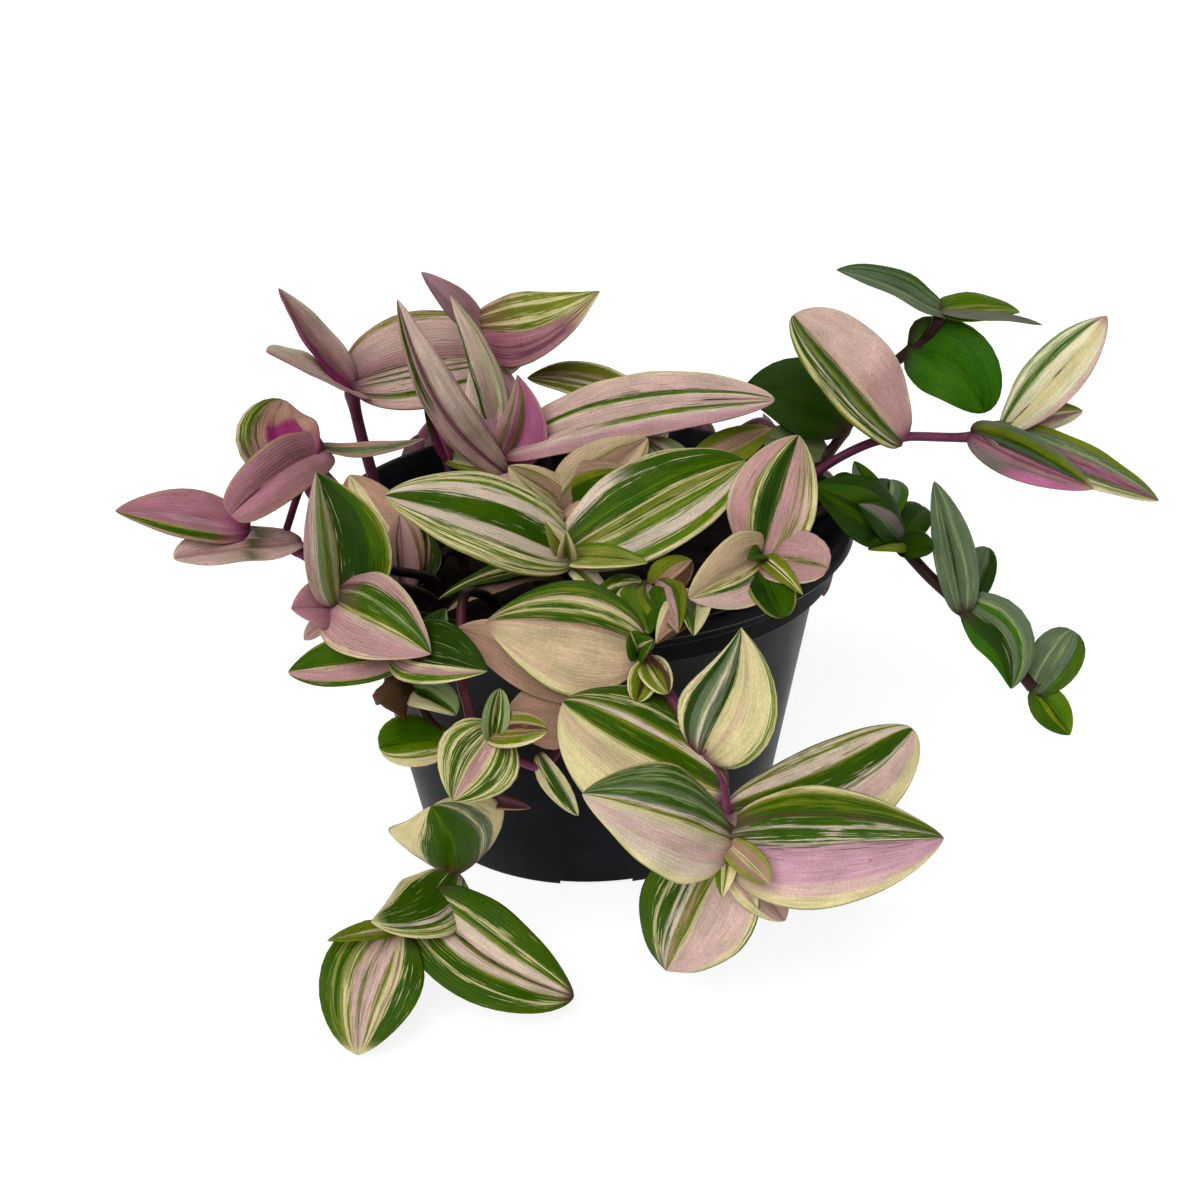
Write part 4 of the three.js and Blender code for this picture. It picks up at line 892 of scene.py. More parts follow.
def seen(place):
    """The point of the upright plane at a depth that shows at a pixel of the front view."""
    across, down, depth = place
    x = across - VIEW_PIXELS / 2
    y = down - VIEW_PIXELS / 2
    level = math.cos(VIEW_ROLL) * x + math.sin(VIEW_ROLL) * y
    drop = math.cos(VIEW_ROLL) * y - math.sin(VIEW_ROLL) * x
    ray = AHEAD + RIGHTWARD * (level / VIEW_FOCAL_PIXELS) - UPWARD * (drop / VIEW_FOCAL_PIXELS)
    return VIEW_EYE + ray * ((depth - VIEW_EYE.y) / ray.y)


class SmoothLine:
    """A centripetal Catmull-Rom curve through points, in millimetres."""

    def __init__(self, points):
        p = np.array([tuple(q) for q in points], float)
        self.points = np.vstack([2 * p[0] - p[1], p, 2 * p[-1] - p[-2]])
        self.pieces = len(p) - 1
        t = np.linspace(0, 1, LENGTH_SAMPLES + 1)
        steps = np.linalg.norm(np.diff(self.at(t), axis=0), axis=1)
        self.lengths = np.concatenate([[0], np.cumsum(steps)])
        self.length = self.lengths[-1]

    def at(self, t):
        """The points at these parts of the curve's parameter."""
        scaled = np.clip(t, 0, 1) * self.pieces
        k = np.minimum(scaled.astype(int), self.pieces - 1)
        w = (scaled - k)[:, None]
        p0, p1, p2, p3 = (self.points[k + i] for i in range(4))
        gaps = [np.linalg.norm(b - a, axis=1)[:, None] ** 0.5
                for a, b in ((p0, p1), (p1, p2), (p2, p3))]
        d0, d1, d2 = gaps
        m1 = ((p1 - p0) / d0 - (p2 - p0) / (d0 + d1) + (p2 - p1) / d1) * d1
        m2 = ((p2 - p1) / d1 - (p3 - p1) / (d1 + d2) + (p3 - p2) / d2) * d1
        cubic = 2 * p1 - 2 * p2 + m1 + m2
        square = -3 * p1 + 3 * p2 - 2 * m1 - m2
        return p1 + w * (m1 + w * (square + w * cubic))

    def spaced(self, steps):
        """steps + 1 points, evenly spaced along the curve."""
        wanted = np.linspace(0, self.length, steps + 1)
        t = np.interp(wanted, self.lengths, np.linspace(0, 1, LENGTH_SAMPLES + 1))
        return self.at(t)

    def axis(self):
        """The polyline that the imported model's shoot follows."""
        return self.spaced(max(3, round(self.length / STEM_STEP)))


def nearest_on(axes, place):
    """The point of the polylines that lies nearest to a place."""
    place = np.array(place, float)
    best, least = place, math.inf
    for axis in axes:
        for a, b in zip(axis, axis[1:]):
            part = np.clip(np.dot(place - a, b - a) / max(np.dot(b - a, b - a), 1e-12), 0, 1)
            point = a + part * (b - a)
            gap = np.linalg.norm(point - place)
            if gap < least:
                best, least = point, gap
    return best


def turned(vectors, axes, angles):
    """Each vector turned about its unit axis by its angle."""
    c, s = np.cos(angles)[:, None], np.sin(angles)[:, None]
    along = np.sum(axes * vectors, axis=1)[:, None]
    return vectors * c + np.cross(axes, vectors) * s + axes * along * (1 - c)


def unit(vectors):
    """The vectors, each with length 1."""
    return vectors / np.linalg.norm(vectors, axis=-1, keepdims=True)


def smoothstep(low, high, x):
    """0 below low, 1 above high and smooth between."""
    t = np.clip((x - low) / (high - low), 0, 1)
    return t * t * (3 - 2 * t)


def bands_of(look):
    """A look's bands: letter, left end, right end, the two parts of the length that it shows
    between, and the letter of the tissue that it gives way to."""
    bands, left, before = [], -1.0, ""
    for word in look.split():
        letter, rest = word[0], word[1:]
        beside = before
        if rest and rest[-1].isalpha():
            beside, rest = rest[-1], rest[:-1]
        first, last = 0.0, 1.0
        if "<" in rest:
            rest, limit = rest.split("<")
            last = float(limit)
        if ">" in rest:
            rest, limit = rest.split(">")
            first = float(limit)
        right = float(rest) if rest else 1.0
        bands.append((letter, left, right, first, last, beside or letter))
        left, before = right, letter
    return bands


def leaf_columns(bands):
    """Where the mesh's columns stand across a blade, and which band each is in."""
    columns, owner = [-1.0], [0]
    for k, (_, left, right, *_) in enumerate(bands):
        a = left + (SOFT_EDGE if k else COLUMN_STEP / 3)
        b = right - (SOFT_EDGE if k + 1 < len(bands) else COLUMN_STEP / 3)
        if b - a < SOFT_EDGE:
            a = b = (left + right) / 2
            steps = 0
        else:
            steps = max(1, math.ceil((b - a) / COLUMN_STEP))
        for i in range(steps + 1):
            columns.append(a + (b - a) * i / max(steps, 1))
            owner.append(k)
    columns.append(1.0)
    owner.append(len(bands) - 1)
    columns, owner = np.array(columns), np.array(owner)
    middle = np.argmin(np.abs(columns))
    if abs(columns[middle]) < MIDRIB_SNAP:
        columns[middle] = 0
    else:
        at = np.searchsorted(columns, 0)
        columns, owner = np.insert(columns, at, 0), np.insert(owner, at, owner[at])
    return columns, owner


def half_width(entry, t):
    """Half the flat blade's width at each part of its length."""
    heel, point = entry["heel"], entry["point"]
    widest = heel / (heel + point)
    most = widest ** heel * (1 - widest) ** point
    return entry["width"] / 2 * t ** heel * (1 - t) ** point / most


def blade_shape(entry, foliage, seed):
    """A blade's upper and lower points, row by row, with their columns and parts of length."""
    base, tip = np.array(entry["base"], float), np.array(entry["tip"], float)
    along = tip - base
    length = np.linalg.norm(along)
    along = along / length
    sky = entry["sky"]
    toward = np.array(entry.get("toward", np.array(VIEW_EYE) - base), float)
    face = unit(toward) * (1 - sky) + np.array(UP) * sky
    face = unit(face - along * np.dot(face, along))
    flat = np.cross(along, face)
    rows = int(np.clip(round(length / ROW_STEP), FEWEST_ROWS, MOST_ROWS))
    t = (1 - np.cos(np.pi * np.arange(rows + 1) / rows)) / 2
    rise, slope = 4 * t * (1 - t), 4 * (1 - 2 * t)
    spine = base + np.outer(t, tip - base) + np.outer(rise * length * entry["bow"], face)
    # the base clasps the stem: it starts behind it and passes over the side that the leaf faces
    clasp = (1 - smoothstep(0, CLASP_END, t))[:, None]
    spine += clasp * (face * CLASP_OVER - along * CLASP_BEHIND) * min(1, length / 20)
    spine += np.outer(rise * length * entry["sway"], flat)
    run = unit(along + np.outer(slope * entry["bow"], face) + np.outer(slope * entry["sway"], flat))
    normal = unit(face - run * (run @ face)[:, None])
    normal = turned(normal, run, np.radians(entry["roll"] + entry["twist"] * (t - 0.5)))
    side = np.cross(run, normal)
    base_half = min(BASE_HALF_WIDTH, entry["width"] / 5)
    half = np.maximum(half_width(entry, t), np.where(t < 0.5, base_half, TIP_HALF_WIDTH))
    # a worn margin comes and goes in uneven waves
    half = half * (1 - entry["ragged"] * (0.5 + 0.5 * np.sin(31 * t) * np.sin(17 * t + 1)))

    bands = bands_of(entry["look"])
    columns, owner = leaf_columns(bands)
    rng = random.Random(seed)
    phase = [rng.uniform(0, 2 * math.pi) for _ in range(4)]
    # the bands waver from side to side, but the margins stay
    s = columns[None, :] + BAND_WAVER * (1 - columns[None, :] ** 2) * np.sin(
        2 * np.pi * BAND_WAVES * t[:, None] + phase[0] + 4 * columns[None, :])

    # the section of a half, from midrib to margin, follows its angle in small steps
    fine = np.linspace(0, 1, ARCH_SAMPLES)
    angle = math.radians(entry["fold"]) + foliage.arch * (1 - 2 * fine)
    out, high = (np.concatenate([[0], np.cumsum((part[1:] + part[:-1]) / 2 * np.diff(fine))])
                 for part in (np.cos(angle), np.sin(angle)))
    reach = np.abs(s)
    tilt = np.interp(reach, fine, angle)
    across = np.sign(s) * np.interp(reach, fine, out) * half[:, None]
    above = np.interp(reach, fine, high) * half[:, None]
    ripple = foliage.ripple / MM * np.minimum(half, RIPPLE_FULL)[:, None] / RIPPLE_FULL * reach ** 3
    right, left = (np.sin(2 * np.pi * t[:, None] * length / span + start)
                   for span, start in zip(RIPPLE_LENGTHS, phase[1:3]))
    above = above + ripple * np.where(s > 0, right, left)
    groove = GROOVE_DEPTH * np.exp(-(s / GROOVE_WIDTH) ** 2) * np.minimum(half / 4, 1)[:, None]
    middle = (spine[:, None, :] + across[..., None] * side[:, None, :]
              + (above - groove)[..., None] * normal[:, None, :])
    outward = (np.cos(tilt)[..., None] * normal[:, None, :]
               - (np.sign(s) * np.sin(tilt))[..., None] * side[:, None, :])
    thick = foliage.blade / MM * np.sqrt(np.clip(1 - columns ** 4, 0, 1))[None, :]
    thick = thick * np.minimum(half / 2, 1)[:, None]
    upper = middle + outward * thick[..., None] / 2
    lower = middle - outward * thick[..., None] / 2
    for sheet in (upper, lower):
        sheet[0] = spine[0]
        sheet[-1] = spine[-1]
    return {"upper": upper, "lower": lower, "t": t, "s": s, "half": half, "length": length,
            "bands": bands, "owner": owner, "columns": columns, "phase": phase[3]}


def blade_colours(entry, shape, tissue, rng):
    """The colours of a blade's points above and below, and those of the strands in them. How many
    strands there are is the fourth value of a strand's colour: most beside the edge of a band."""
    t, s = shape["t"][:, None], shape["s"]
    bands, owner, columns = shape["bands"], shape["owner"], shape["columns"]
    base = np.array([tissue[band[0]] for band in bands])
    rows, count = len(shape["t"]), len(owner)
    rgb, strand = np.zeros((rows, count, 3)), np.zeros((rows, count, 3))
    amount = np.zeros((rows, count))
    inner = rng.uniform(*INNER_STRANDS)
    for column, k in enumerate(owner):
        _, left, right, first, last, beside = bands[k]
        shown = np.ones(rows)
        if first > 0:
            shown *= smoothstep(first - BAND_FADE, first + BAND_FADE, shape["t"])
        if last < 1:
            shown *= 1 - smoothstep(last - BAND_FADE, last + BAND_FADE, shape["t"])
        rgb[:, column] = base[k] * shown[:, None] + tissue[beside] * (1 - shown[:, None])
        # an outer margin counts as an edge that is far away
        to_left = columns[column] - left if k else 2
        to_right = right - columns[column] if k + 1 < len(bands) else 2
        other = base[k - 1] if to_left < to_right else base[min(k + 1, len(bands) - 1)]
        if len(bands) == 1:
            other = base[k] * LONE_STRANDS
        strand[:, column] = other
        near = max(0, 1 - min(to_left, to_right) / EDGE_STRANDS)
        amount[:, column] = inner + (MOST_STRANDS - inner) * near
    # slow waves across and along the blade make the strands and the blush uneven
    waver = np.sin(7 * s + shape["phase"]) * np.sin(9 * t + 5 * s + shape["phase"])
    amount = np.clip(amount + STRAND_WAVER * waver, 0, 1)
    rough = 0.5 + 0.5 * np.sin(9 * s + shape["phase"]) * np.sin(5 * t + 3 * s)
    blush = entry["blush"] * (1 - smoothstep(0, entry["reach"], t * (0.75 + 0.5 * rough)))
    # painted shade: darker at the base, where the leaves above overlap it, and along the midrib's
    # groove; the margin is darker as well
    shade = (1 - PAINTED_BASE_SHADE * (1 - smoothstep(0, PAINTED_SHADE_REACH, t))
             - PAINTED_MIDRIB_SHADE * np.exp(-(s / MIDRIB_WIDTH) ** 2))
    shade = shade * (1 - MARGIN_SHADE * smoothstep(MARGIN_START, 1, np.abs(s)))
    sheath = (1 - smoothstep(*SHEATH_SPAN, t + 0 * s))[..., None]
    results = []
    for part in (rgb, strand):
        part = part + (tissue["M"] - part) * (BLUSH_TONE * blush)[..., None]
        if entry["tipped"]:
            end = smoothstep(*TIP_SPAN, t + 0 * s)
            part = part + (tissue[entry["tipped"]] - part) * end[..., None]
        part = part + (np.array(entry["bark"]) - part) * sheath * SHEATH_TONE
        results.append(part * shade[..., None])
    under = [(part + (tissue[entry["under"]] - part) * UNDER_TONE) * UNDER_SHADE
             for part in results]
    upper = np.concatenate([*results, amount[..., None]], -1)
    lower = np.concatenate([*under, amount[..., None] * UNDER_STRANDS], -1)
    return upper, lower


def add_blade(bm, layers, entry, foliage, tissue, seed):
    """Adds a leaf as one closed skin: a grid bent round into a flat tube with pointed ends."""
    shape = blade_shape(entry, foliage, seed)
    rng = random.Random(seed + COLOUR_SEED)
    upper, under = blade_colours(entry, shape, tissue, rng)
    points = np.concatenate([shape["upper"], shape["lower"][:, -2:0:-1], shape["upper"][:, :1]], 1)
    colours = np.concatenate([upper, under[:, -2:0:-1], upper[:, :1]], 1)
    s = np.concatenate([shape["s"], shape["s"][:, -2:0:-1], shape["s"][:, :1]], 1)
    most = shape["half"].max()
    # the third number is the leaf's own, so that no two leaves are mottled alike
    place = np.stack([s * most, np.broadcast_to(shape["t"][:, None] * shape["length"], s.shape),
                      np.full(s.shape, (seed * 7.3) % 97)], -1)
    bend_grid(bm, layers, points * MM, colours, place, 0)


def bend_grid(bm, layers, points, colours, place, material):
    """Makes a grid and moves it onto rows of points, closing its seam and its two ends."""
    rows, ring = points.shape[0] - 1, points.shape[1] - 1
    made = bmesh.ops.create_grid(bm, x_segments=ring, y_segments=rows, size=1)
    colour_layer, strand_layer, place_layer = layers
    verts = made["verts"]
    for vert in verts:
        i = round((vert.co.x + 1) / 2 * ring)
        j = round((vert.co.y + 1) / 2 * rows)
        vert.co = points[j, i]
        vert[colour_layer] = (*colours[j, i, :3], 1.0)
        vert[strand_layer] = colours[j, i, 3:]
        vert[place_layer] = place[j, i]
    for face in {f for v in verts for f in v.link_faces}:
        face.material_index = material
    bmesh.ops.remove_doubles(bm, verts=verts, dist=2e-7)


def add_shoot(bm, layers, line, thick, joints, bark, old_end, swelling, seed):
    """Adds a round stem along a line, swollen and darker at its joints, with rounded ends. Up to
    old_end, in millimetres, it is old brown bark, darkened further as painted shade."""
    steps = max(8, round(line.length / SHOOT_STEP))
    centre = line.spaced(steps)
    run = unit(np.gradient(centre, axis=0))
    # any direction that isn't the stem's own will do for its first side
    across = unit(np.cross(run[0], (0.3, 1, 0.1)))
    sides = []
    for direction in run:
        across = unit(across - direction * np.dot(across, direction))
        sides.append(across)
    sides = np.array(sides)
    other = np.cross(run, sides)
    distance = np.linspace(0, line.length, steps + 1)
    radius = np.full(steps + 1, thick / 2)
    dark = np.zeros(steps + 1)
    sheath = np.zeros(steps + 1)
    for joint in joints:
        where = distance[np.argmin(np.linalg.norm(centre - joint, axis=1))]
        near = distance - where
        bulge = np.exp(-(near / SWELL_WIDTH) ** 2)
        sleeve = np.where(near < 0, np.exp(-(near / SHEATH_BEFORE) ** 4),
                          np.exp(-(near / SHEATH_AFTER) ** 2))
        swollen = 1 + swelling * bulge + SHEATH_SWELL * swelling * sleeve
        radius = np.maximum(radius, thick / 2 * swollen)
        dark = np.maximum(dark, np.exp(-((near + RING_BEFORE) / RING_WIDTH) ** 2))
        sheath = np.maximum(sheath, sleeve)
    ends = np.minimum(distance, line.length - distance)
    radius = radius * np.sqrt(np.clip(1 - np.clip(1 - ends / (thick / 2), 0, 1) ** 2, 0, 1))
    turn = np.linspace(0, 2 * np.pi, SHOOT_SIDES + 1)
    points = (centre[:, None, :]
              + radius[:, None, None] * (np.cos(turn)[None, :, None] * sides[:, None, :]
                                         + np.sin(turn)[None, :, None] * other[:, None, :]))
    points[:, -1] = points[:, 0]
    pale, deep = np.array(bark)
    # stretches of it are paler and deeper by turns
    wave = 0.5 + 0.5 * np.sin(distance / 9 + seed)
    tone = deep + (pale - deep) * (0.45 + 0.55 * wave)[:, None]
    tone = tone * (1 - RING_SHADE * dark)[:, None] + pale * (0.5 * sheath)[:, None] * 0.5
    # the old part is brown bark, made near black as painted shade where it runs low under the
    # leaves
    if old_end:
        old = (1 - smoothstep(old_end - OLD_FADE, old_end, distance))[:, None]
        tone = tone + (np.array(linear(OLD_BARK_AND_SHADE)) - tone) * old
    tone = np.concatenate([tone, tone, np.zeros((steps + 1, 1))], 1)
    colours = np.broadcast_to(tone[:, None, :], (*points.shape[:2], 7))
    place = np.stack([
        np.broadcast_to(turn[None, :] * thick / 2, points.shape[:2]),
        np.broadcast_to(distance[:, None], points.shape[:2]),
        np.full(points.shape[:2], (seed * 3.1) % 89)], -1)
    bend_grid(bm, layers, points * MM, colours, place, 1)


def tissue_colours(context):
    """The tissue colours of the add-on's properties, by letter."""
    chosen = context.scene.tradescantia_tissue
    return {letter: np.array(getattr(chosen, name)) for letter, (name, _) in TISSUES.items()}


def shared_materials(context):
    """The leaf and stem materials, made once."""
    known = bpy.data.materials
    spacing = context.scene.tradescantia_foliage.vein_spacing
    tissue = known.get("living_leaf_tissue") or leaf_tissue(spacing)
    skin = known.get("succulent_stem_skin") or stem_skin()
    return [tissue, skin]


def grow(context, stem, seed):
    """Grows one stem with its branches and leaves as one piece."""
    foliage = context.scene.tradescantia_foliage
    tissue = tissue_colours(context)
    bm = bmesh.new()
    layers = (bm.verts.layers.float_color.new("leaf_colour"),
              bm.verts.layers.float_color.new("strand_colour"),
              bm.verts.layers.float_vector.new("leaf_place"))
    x, y = stem["foot"]
    below = [SOIL_TOP - ROOT_DEPTH, SOIL_TOP - ROOT_DEPTH / 2, SOIL_TOP, SOIL_TOP + COLLAR]
    points = [(x, y, z) for z in below] + list(stem.get("rise", []))
    points += [seen(place) for place in stem.get("path", [])]
    lines = [SmoothLine(points)]
    axes = [lines[0].axis()]
    for branch in stem.get("branches", []):
        places = [seen(place) for place in branch]
        places.insert(0, Vector(nearest_on(axes[:1], places[0])))
        lines.append(SmoothLine(places))
        axes.append(lines[-1].axis())
    bark = [linear(code) for code in BARKS[stem.get("bark", "purple_bark")]]
    placed = []
    for entry in stem["leaves"]:
        base, tip = entry["base"], entry["tip"]
        if stem.get("path"):
            base, tip = seen(base), seen(tip)
        placed.append({**entry, "base": nearest_on(axes, base), "tip": tip, "bark": bark[0]})
    for number, line in enumerate(lines):
        thick = stem["thick"] * (BRANCH_THICKNESS if number else 1)
        joints = [e["base"] for e in placed
                  if np.linalg.norm(nearest_on([axes[number]], e["base"]) - e["base"]) < 0.01]
        old_end = 0 if number else stem.get("old", OLD_END)
        add_shoot(bm, layers, line, thick, joints, bark, old_end, foliage.swelling, seed + number)
    for number, entry in enumerate(placed):
        add_blade(bm, layers, entry, foliage, tissue, seed * LEAF_SEEDS + number)
    finished("shoot_" + stem["name"], bm, shared_materials(context), "stem_" + stem["name"])


def bearing_vectors(degrees):
    """The level direction at a bearing from +X, and the one a quarter turn on."""
    angle = math.radians(degrees)
    out = Vector((math.cos(angle), math.sin(angle), 0))
    return out, UP.cross(out)


def between(first, last, part):
    """The value at a part of the way from the first to the last."""
    return first + (last - first) * part


def hanging_stem(stem, rng):
    """A stem that climbs over the rim at a bearing and hangs down outside it."""
    out, aside = bearing_vectors(stem["bearing"])
    drop, count = stem["drop"], stem["pairs"] * 2
    line = [INSIDE, *((radius, CREST) for radius in CREST_RADII), OUTSIDE,
            (HALFWAY_RADIUS, CREST - drop / 2), (END_RADIUS, CREST - drop)]
    leaves = []
    for i in range(count):
        part = i / (count - 1)
        value = {key: between(FIRST_LEAF[key], LAST_LEAF[key], part) for key in FIRST_LEAF}
        hand = stem["first"] if i % 2 == 0 else -stem["first"]
        base = (out * between(BEARING_RADIUS, END_RADIUS, part)
                + UP * (CREST - between(FIRST_LEAF_DROP, drop, part)))
        tip = base + out * value["out"] + aside * hand * value["aside"] - UP * value["down"]
        leaves.append(leaf(base, tip, value["width"], rng.choice(KIND_LOOKS[stem["slot"]]),
                           toward=out + UP * OUTWARD_TILT, roll=hand * HANGING_LEAF_ROLL,
                           **HANGING_LEAF))
    foot = (out.x * HANGING_FOOT_RADIUS, out.y * HANGING_FOOT_RADIUS)
    rise = [out * radius + UP * height for radius, height in line]
    return {**stem, "thick": HANGING_THICK, "foot": foot, "rise": rise, "leaves": leaves}


def short_stem(stem, rng):
    """A short upright stem with leaves set crosswise."""
    x, y = stem["foot"]
    top = Vector((x, y, SOIL_TOP + stem["tall"]))
    leaves = []
    for i in range(SHORT_STEM_LEAVES):
        out, _ = bearing_vectors(stem["turn"] + i * 360 / SHORT_STEM_LEAVES)
        base = top - UP * LEAF_STEP * i
        tip = base + out * SHORT_LEAF_REACH + UP * SHORT_LEAF_RISE
        look = rng.choice(KIND_LOOKS[stem["slot"]])
        leaves.append(leaf(base, tip, SHORT_LEAF_WIDTH, look, **SHORT_LEAF))
    return {**stem, "thick": SHORT_THICK, "rise": [top], "leaves": leaves}


def wall_radius(height):
    """The outer radius of the pot's tapering wall at a height."""
    return FOOT_RADIUS + (WALL_TOP_RADIUS - FOOT_RADIUS) * height / BAND_BOTTOM


def spun(profile, sides):
    """A bmesh of a profile of radii and heights in millimetres, spun round the Z axis."""
    bm = bmesh.new()
    verts = [bm.verts.new((radius * MM, 0, height * MM)) for radius, height in profile]
    edges = [bm.edges.new(pair) for pair in zip(verts, verts[1:])]
    bmesh.ops.spin(bm, geom=verts + edges, cent=(0, 0, 0), axis=(0, 0, 1), dvec=(0, 0, 0),
                   angle=2 * math.pi, steps=sides, use_merge=True)
    bmesh.ops.remove_doubles(bm, verts=bm.verts, dist=1e-6)
    bmesh.ops.recalc_face_normals(bm, faces=bm.faces)
    return bm


def cut(target, cutters):
    """Cuts the cutters out of the target, and removes them."""
    for cutter in cutters:
        modifier = target.modifiers.new("cut", "BOOLEAN")
        modifier.operation = "DIFFERENCE"
        modifier.solver = "EXACT"
        modifier.object = cutter
    bpy.context.view_layer.update()
    graph = bpy.context.evaluated_depsgraph_get()
    mesh = bpy.data.meshes.new_from_object(target.evaluated_get(graph))
    target.modifiers.clear()
    old, target.data = target.data, mesh
    bpy.data.meshes.remove(old)
    for cutter in cutters:
        bpy.data.meshes.remove(cutter.data)


def cutter_of(bm):
    """A hidden object of a bmesh, for cutting."""
    mesh = bpy.data.meshes.new("cutter")
    bm.to_mesh(mesh)
    bm.free()
    made = bpy.data.objects.new("cutter", mesh)
    bpy.context.scene.collection.objects.link(made)
    return made


class TRADESCANTIA_OT_pot(bpy.types.Operator):
    """Makes the nursery pot: a spun shell with drain holes and foot notches"""

    bl_idname = "tradescantia.pot"
    bl_label = "Pot"

    def execute(self, context):
        pot = context.scene.tradescantia_pot
        wall = pot.wall / MM
        inner = [(wall_radius(h) - wall, h) for h in (74.8, 56, 38, 20, FLOOR_TOP + 2)]
        outer = [(wall_radius(h), h) for h in (1.6, 20, 38, 56, 75.2)]
        foot = [(0, 0), (15, 0), (15.8, 1), (41.2, 1), (42, 0), (50.2, 0), (50.8, 0.4)]
        band = [(65.9, 75.8), (66.8, 76.1), (69.2, 76.4), (BAND_RADIUS, 77.1),
                (BAND_RADIUS, 81.8), (70.5, 82.3), (71.8, 82.6), (72.3, 83.1), (72.4, 84.9)]
        rim = [(73, 85.3), (74.4, 85.7), (RIM_RADIUS, 86.5), (RIM_RADIUS, 88.7), (74.6, 89.6),
               (73.7, POT_HEIGHT), (72.7, 89.8), (72.1, 89.2), (68.6, 82)]
        floor = [(wall_radius(FLOOR_TOP) - wall - 1.4, FLOOR_TOP), (0, FLOOR_TOP)]
        profile = [*foot, *outer, *band, *rim, *inner, *floor]
        shell = finished("nursery_pot", spun(profile, pot.sides), [pot_plastic(pot.plastic)],
                         "pot")
        cutters = []
        for i in range(DRAIN_HOLES):
            angle = (i + 0.5) / DRAIN_HOLES * 2 * math.pi
            x, y = DRAIN_RING * math.cos(angle), DRAIN_RING * math.sin(angle)
            bm = bmesh.new()
            bmesh.ops.create_cone(
                bm, cap_ends=True, segments=32, radius1=DRAIN_RADIUS * MM,
                radius2=DRAIN_RADIUS * MM, depth=8 * MM,
                matrix=Matrix.Translation(Vector((x, y, 1)) * MM))
            cutters.append(cutter_of(bm))
        for i in range(FOOT_NOTCHES):
            bm = bmesh.new()
            place = (Matrix.Rotation(i * 2 * math.pi / FOOT_NOTCHES, 4, "Z")
                     @ Matrix.Translation(Vector((0, -NOTCH_DISTANCE, 0)) * MM)
                     @ Matrix.Diagonal((*(size * MM for size in NOTCH_SIZE), 1)))
            bmesh.ops.create_cube(bm, size=1, matrix=place)
            cutters.append(cutter_of(bm))
        cut(shell, cutters)
        for polygon in shell.data.polygons:
            polygon.use_smooth = True
        shell.data.set_sharp_from_angle(angle=math.radians(32))
        return {"FINISHED"}


class TRADESCANTIA_OT_soil(bpy.types.Operator):
    """Makes the potting soil: a domed, lumpy fill with loose crumbs on it"""

    bl_idname = "tradescantia.soil"
    bl_label = "Soil"

    def execute(self, context):
        pot = context.scene.tradescantia_pot
        gap = pot.wall / MM + 0.5
        top = [(r, SOIL_TOP + SOIL_DOME - SOIL_DOME * min(r / SOIL_DOME_RADIUS, 1))
               for r in range(0, SOIL_DOME_RADIUS + 2, 2)]
        side = [(wall_radius(72) - gap, 72), (wall_radius(30) - gap, 30),
                (wall_radius(FLOOR_TOP) - gap, SOIL_BOTTOM), (0, SOIL_BOTTOM)]
        bm = spun([*top, *SOIL_SHOULDER, *side], SOIL_SIDES)
        for vert in bm.verts:
            if vert.co.z > LUMP_LEVEL * MM and vert.co.xy.length > 1e-6:
                lumps = noise.fractal(vert.co / (LUMP_SIZE * MM), 1.0, 2.0, 4)
                vert.co.z += LUMP_HEIGHT * MM * lumps
        rng = random.Random(CRUMB_SEED)
        # without a seed, the noise that bends the crumbs would start from the time of day
        noise.seed_set(CRUMB_SEED)
        for _ in range(pot.crumbs):
            radius = CRUMB_RING * math.sqrt(rng.random())
            angle = rng.uniform(0, 2 * math.pi)
            size = rng.uniform(*CRUMB_SIZES)
            height = CRUMB_TOP - CRUMB_FALL * (radius / CRUMB_RING) ** 2
            place = Vector((radius * math.cos(angle), radius * math.sin(angle), height)) * MM
            turn = Quaternion((rng.random(), rng.random(), rng.random()), rng.uniform(0, 6))
            shape = Matrix.Diagonal((size * MM, size * rng.uniform(0.5, 0.9) * MM,
                                     size * rng.uniform(0.4, 0.8) * MM, 1))
            crumb = bmesh.ops.create_icosphere(
                bm, subdivisions=1, radius=1,
                matrix=Matrix.Translation(place) @ turn.to_matrix().to_4x4() @ shape)
            for vert in crumb["verts"]:
                vert.co += noise.noise_vector(vert.co / (1.1 * MM)) * 0.25 * MM
        finished("potting_soil", bm, [moist_peat(pot.soil)], "soil")
        return {"FINISHED"}


class TRADESCANTIA_OT_front_stems(bpy.types.Operator):
    """Grows the stems that show in the front view, with their leaves"""

    bl_idname = "tradescantia.front_stems"
    bl_label = "Front stems"

    def execute(self, context):
        for number, stem in enumerate(FRONT_STEMS):
            grow(context, stem, FRONT_SEED + number * SEED_STEP)
        return {"FINISHED"}


class TRADESCANTIA_OT_hanging_stems(bpy.types.Operator):
    """Grows the stems that hang over the back of the pot"""

    bl_idname = "tradescantia.hanging_stems"
    bl_label = "Hanging stems"

    def execute(self, context):
        rng = random.Random(HANGING_LOOKS_SEED)
        for number, stem in enumerate(HANGING_STEMS):
            grow(context, hanging_stem(stem, rng), HANGING_SEED + number * SEED_STEP)
        return {"FINISHED"}


class TRADESCANTIA_OT_short_stems(bpy.types.Operator):
    """Grows the short stems in the middle of the pot"""

    bl_idname = "tradescantia.short_stems"
    bl_label = "Short stems"

    def execute(self, context):
        rng = random.Random(SHORT_LOOKS_SEED)
        for number, stem in enumerate(SHORT_STEMS):
            grow(context, short_stem(stem, rng), SHORT_SEED + number * SEED_STEP)
        return {"FINISHED"}


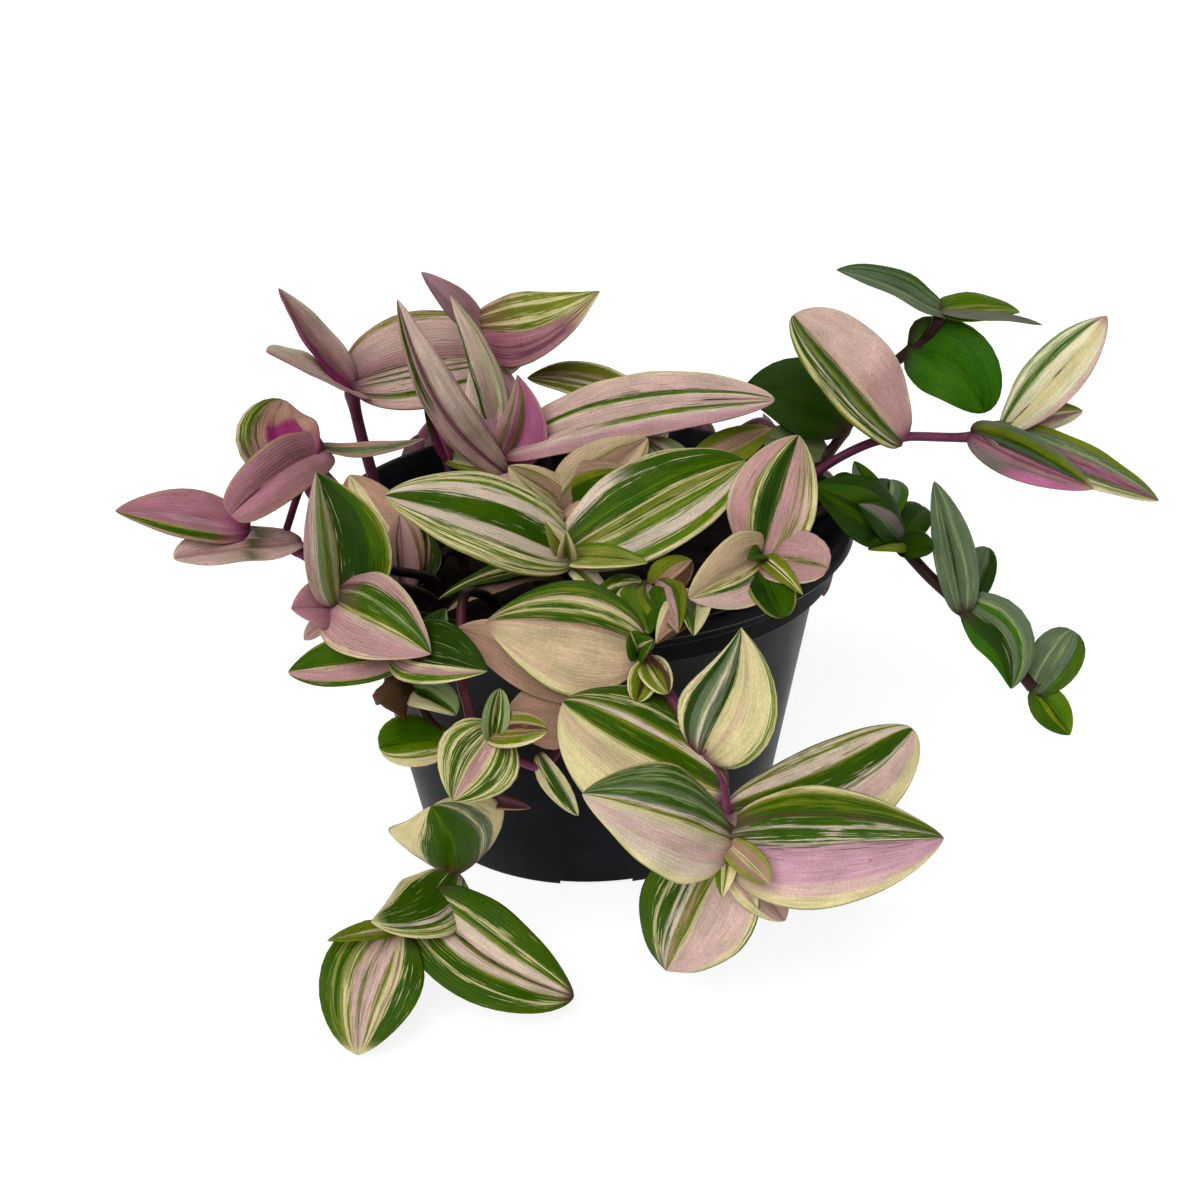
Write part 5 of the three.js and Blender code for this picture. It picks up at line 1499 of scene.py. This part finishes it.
def broad_light(name, origin, strength, spread):
    """A wide soft light that comes from the direction of a point."""
    light = bpy.data.lights.new(name, "SUN")
    light.energy = strength
    light.angle = spread
    made = bpy.data.objects.new(name, light)
    made.rotation_mode = "QUATERNION"
    made.rotation_quaternion = (-Vector(origin)).to_track_quat("-Z", "Y")
    bpy.context.scene.collection.objects.link(made)


class TRADESCANTIA_OT_stage(bpy.types.Operator):
    """Makes the floor, the soft studio light and the camera"""

    bl_idname = "tradescantia.stage"
    bl_label = "Stage"

    def execute(self, context):
        scene = context.scene
        stage = scene.tradescantia_stage
        scene.view_settings.view_transform = "Standard"
        world = bpy.data.worlds.new("studio")
        world.use_nodes = True
        background = world.node_tree.nodes["Background"]
        background.inputs["Color"].default_value = (1, 1, 1, 1)
        background.inputs["Strength"].default_value = stage.sky
        scene.world = world
        bm = bmesh.new()
        bmesh.ops.create_grid(bm, x_segments=1, y_segments=1, size=stage.reach)
        edge = bmesh.ops.extrude_edge_only(bm, edges=bm.edges[:])["geom"]
        raised = [item for item in edge if isinstance(item, bmesh.types.BMVert)]
        bmesh.ops.translate(bm, verts=raised, vec=(0, 0, stage.edge))
        mesh = bpy.data.meshes.new("floor")
        bm.to_mesh(mesh)
        bm.free()
        floor = bpy.data.objects.new("floor", mesh)
        scene.collection.objects.link(floor)
        # A pale floor that glows with painted light, so that it stays evenly white and the shadows
        # on it fade
        material, tree = new_material("pale_floor_with_painted_glow")
        surface(tree, {
            "Base Color": (*stage.floor, 1), "Roughness": 0.9, "Specular IOR Level": 0.1,
            "Emission Color": (1, 1, 1, 1), "Emission Strength": stage.floor_glow})
        mesh.materials.append(material)
        broad_light("key", KEY_FROM, stage.key, stage.spread)
        broad_light("fill", FILL_FROM, stage.fill, stage.spread)
        camera = bpy.data.cameras.new("camera")
        camera.sensor_width = SENSOR
        camera.lens = VIEW_FOCAL_PIXELS / VIEW_PIXELS * SENSOR
        camera.clip_start = 0.01
        camera.clip_end = 4 * stage.reach
        made = bpy.data.objects.new("camera", camera)
        made.location = VIEW_EYE * MM
        made.rotation_mode = "QUATERNION"
        aim = (VIEW_TARGET - VIEW_EYE).to_track_quat("-Z", "Y")
        made.rotation_quaternion = aim @ Quaternion((0, 0, 1), VIEW_ROLL)
        scene.collection.objects.link(made)
        scene.camera = made
        return {"FINISHED"}


OPERATORS = (
    TRADESCANTIA_OT_pot,
    TRADESCANTIA_OT_soil,
    TRADESCANTIA_OT_front_stems,
    TRADESCANTIA_OT_hanging_stems,
    TRADESCANTIA_OT_short_stems,
    TRADESCANTIA_OT_stage,
)
PROPERTIES = {
    "tradescantia_pot": PotProperties,
    "tradescantia_foliage": FoliageProperties,
    "tradescantia_tissue": TissueProperties,
    "tradescantia_stage": StageProperties,
}


class TRADESCANTIA_PT_panel(bpy.types.Panel):
    """Lists the pieces of the potted tradescantia"""

    bl_idname = "TRADESCANTIA_PT_panel"
    bl_label = "Potted tradescantia"
    bl_space_type = "VIEW_3D"
    bl_region_type = "UI"
    bl_category = "Tradescantia"

    def draw(self, context):
        for operator in OPERATORS:
            self.layout.operator(operator.bl_idname)
        for name, group in PROPERTIES.items():
            column = self.layout.column(align=True)
            for key in group.__annotations__:
                column.prop(getattr(context.scene, name), key)


def register():
    for cls in (*PROPERTIES.values(), *OPERATORS, TRADESCANTIA_PT_panel):
        bpy.utils.register_class(cls)
    for name, group in PROPERTIES.items():
        setattr(bpy.types.Scene, name, PointerProperty(type=group))


def unregister():
    for name in PROPERTIES:
        delattr(bpy.types.Scene, name)
    for cls in (TRADESCANTIA_PT_panel, *OPERATORS[::-1], *list(PROPERTIES.values())[::-1]):
        bpy.utils.unregister_class(cls)


def main():
    register()
    for operator in OPERATORS:
        group, name = operator.bl_idname.split(".")
        getattr(getattr(bpy.ops, group), name)()


if __name__ == "__main__":
    main()
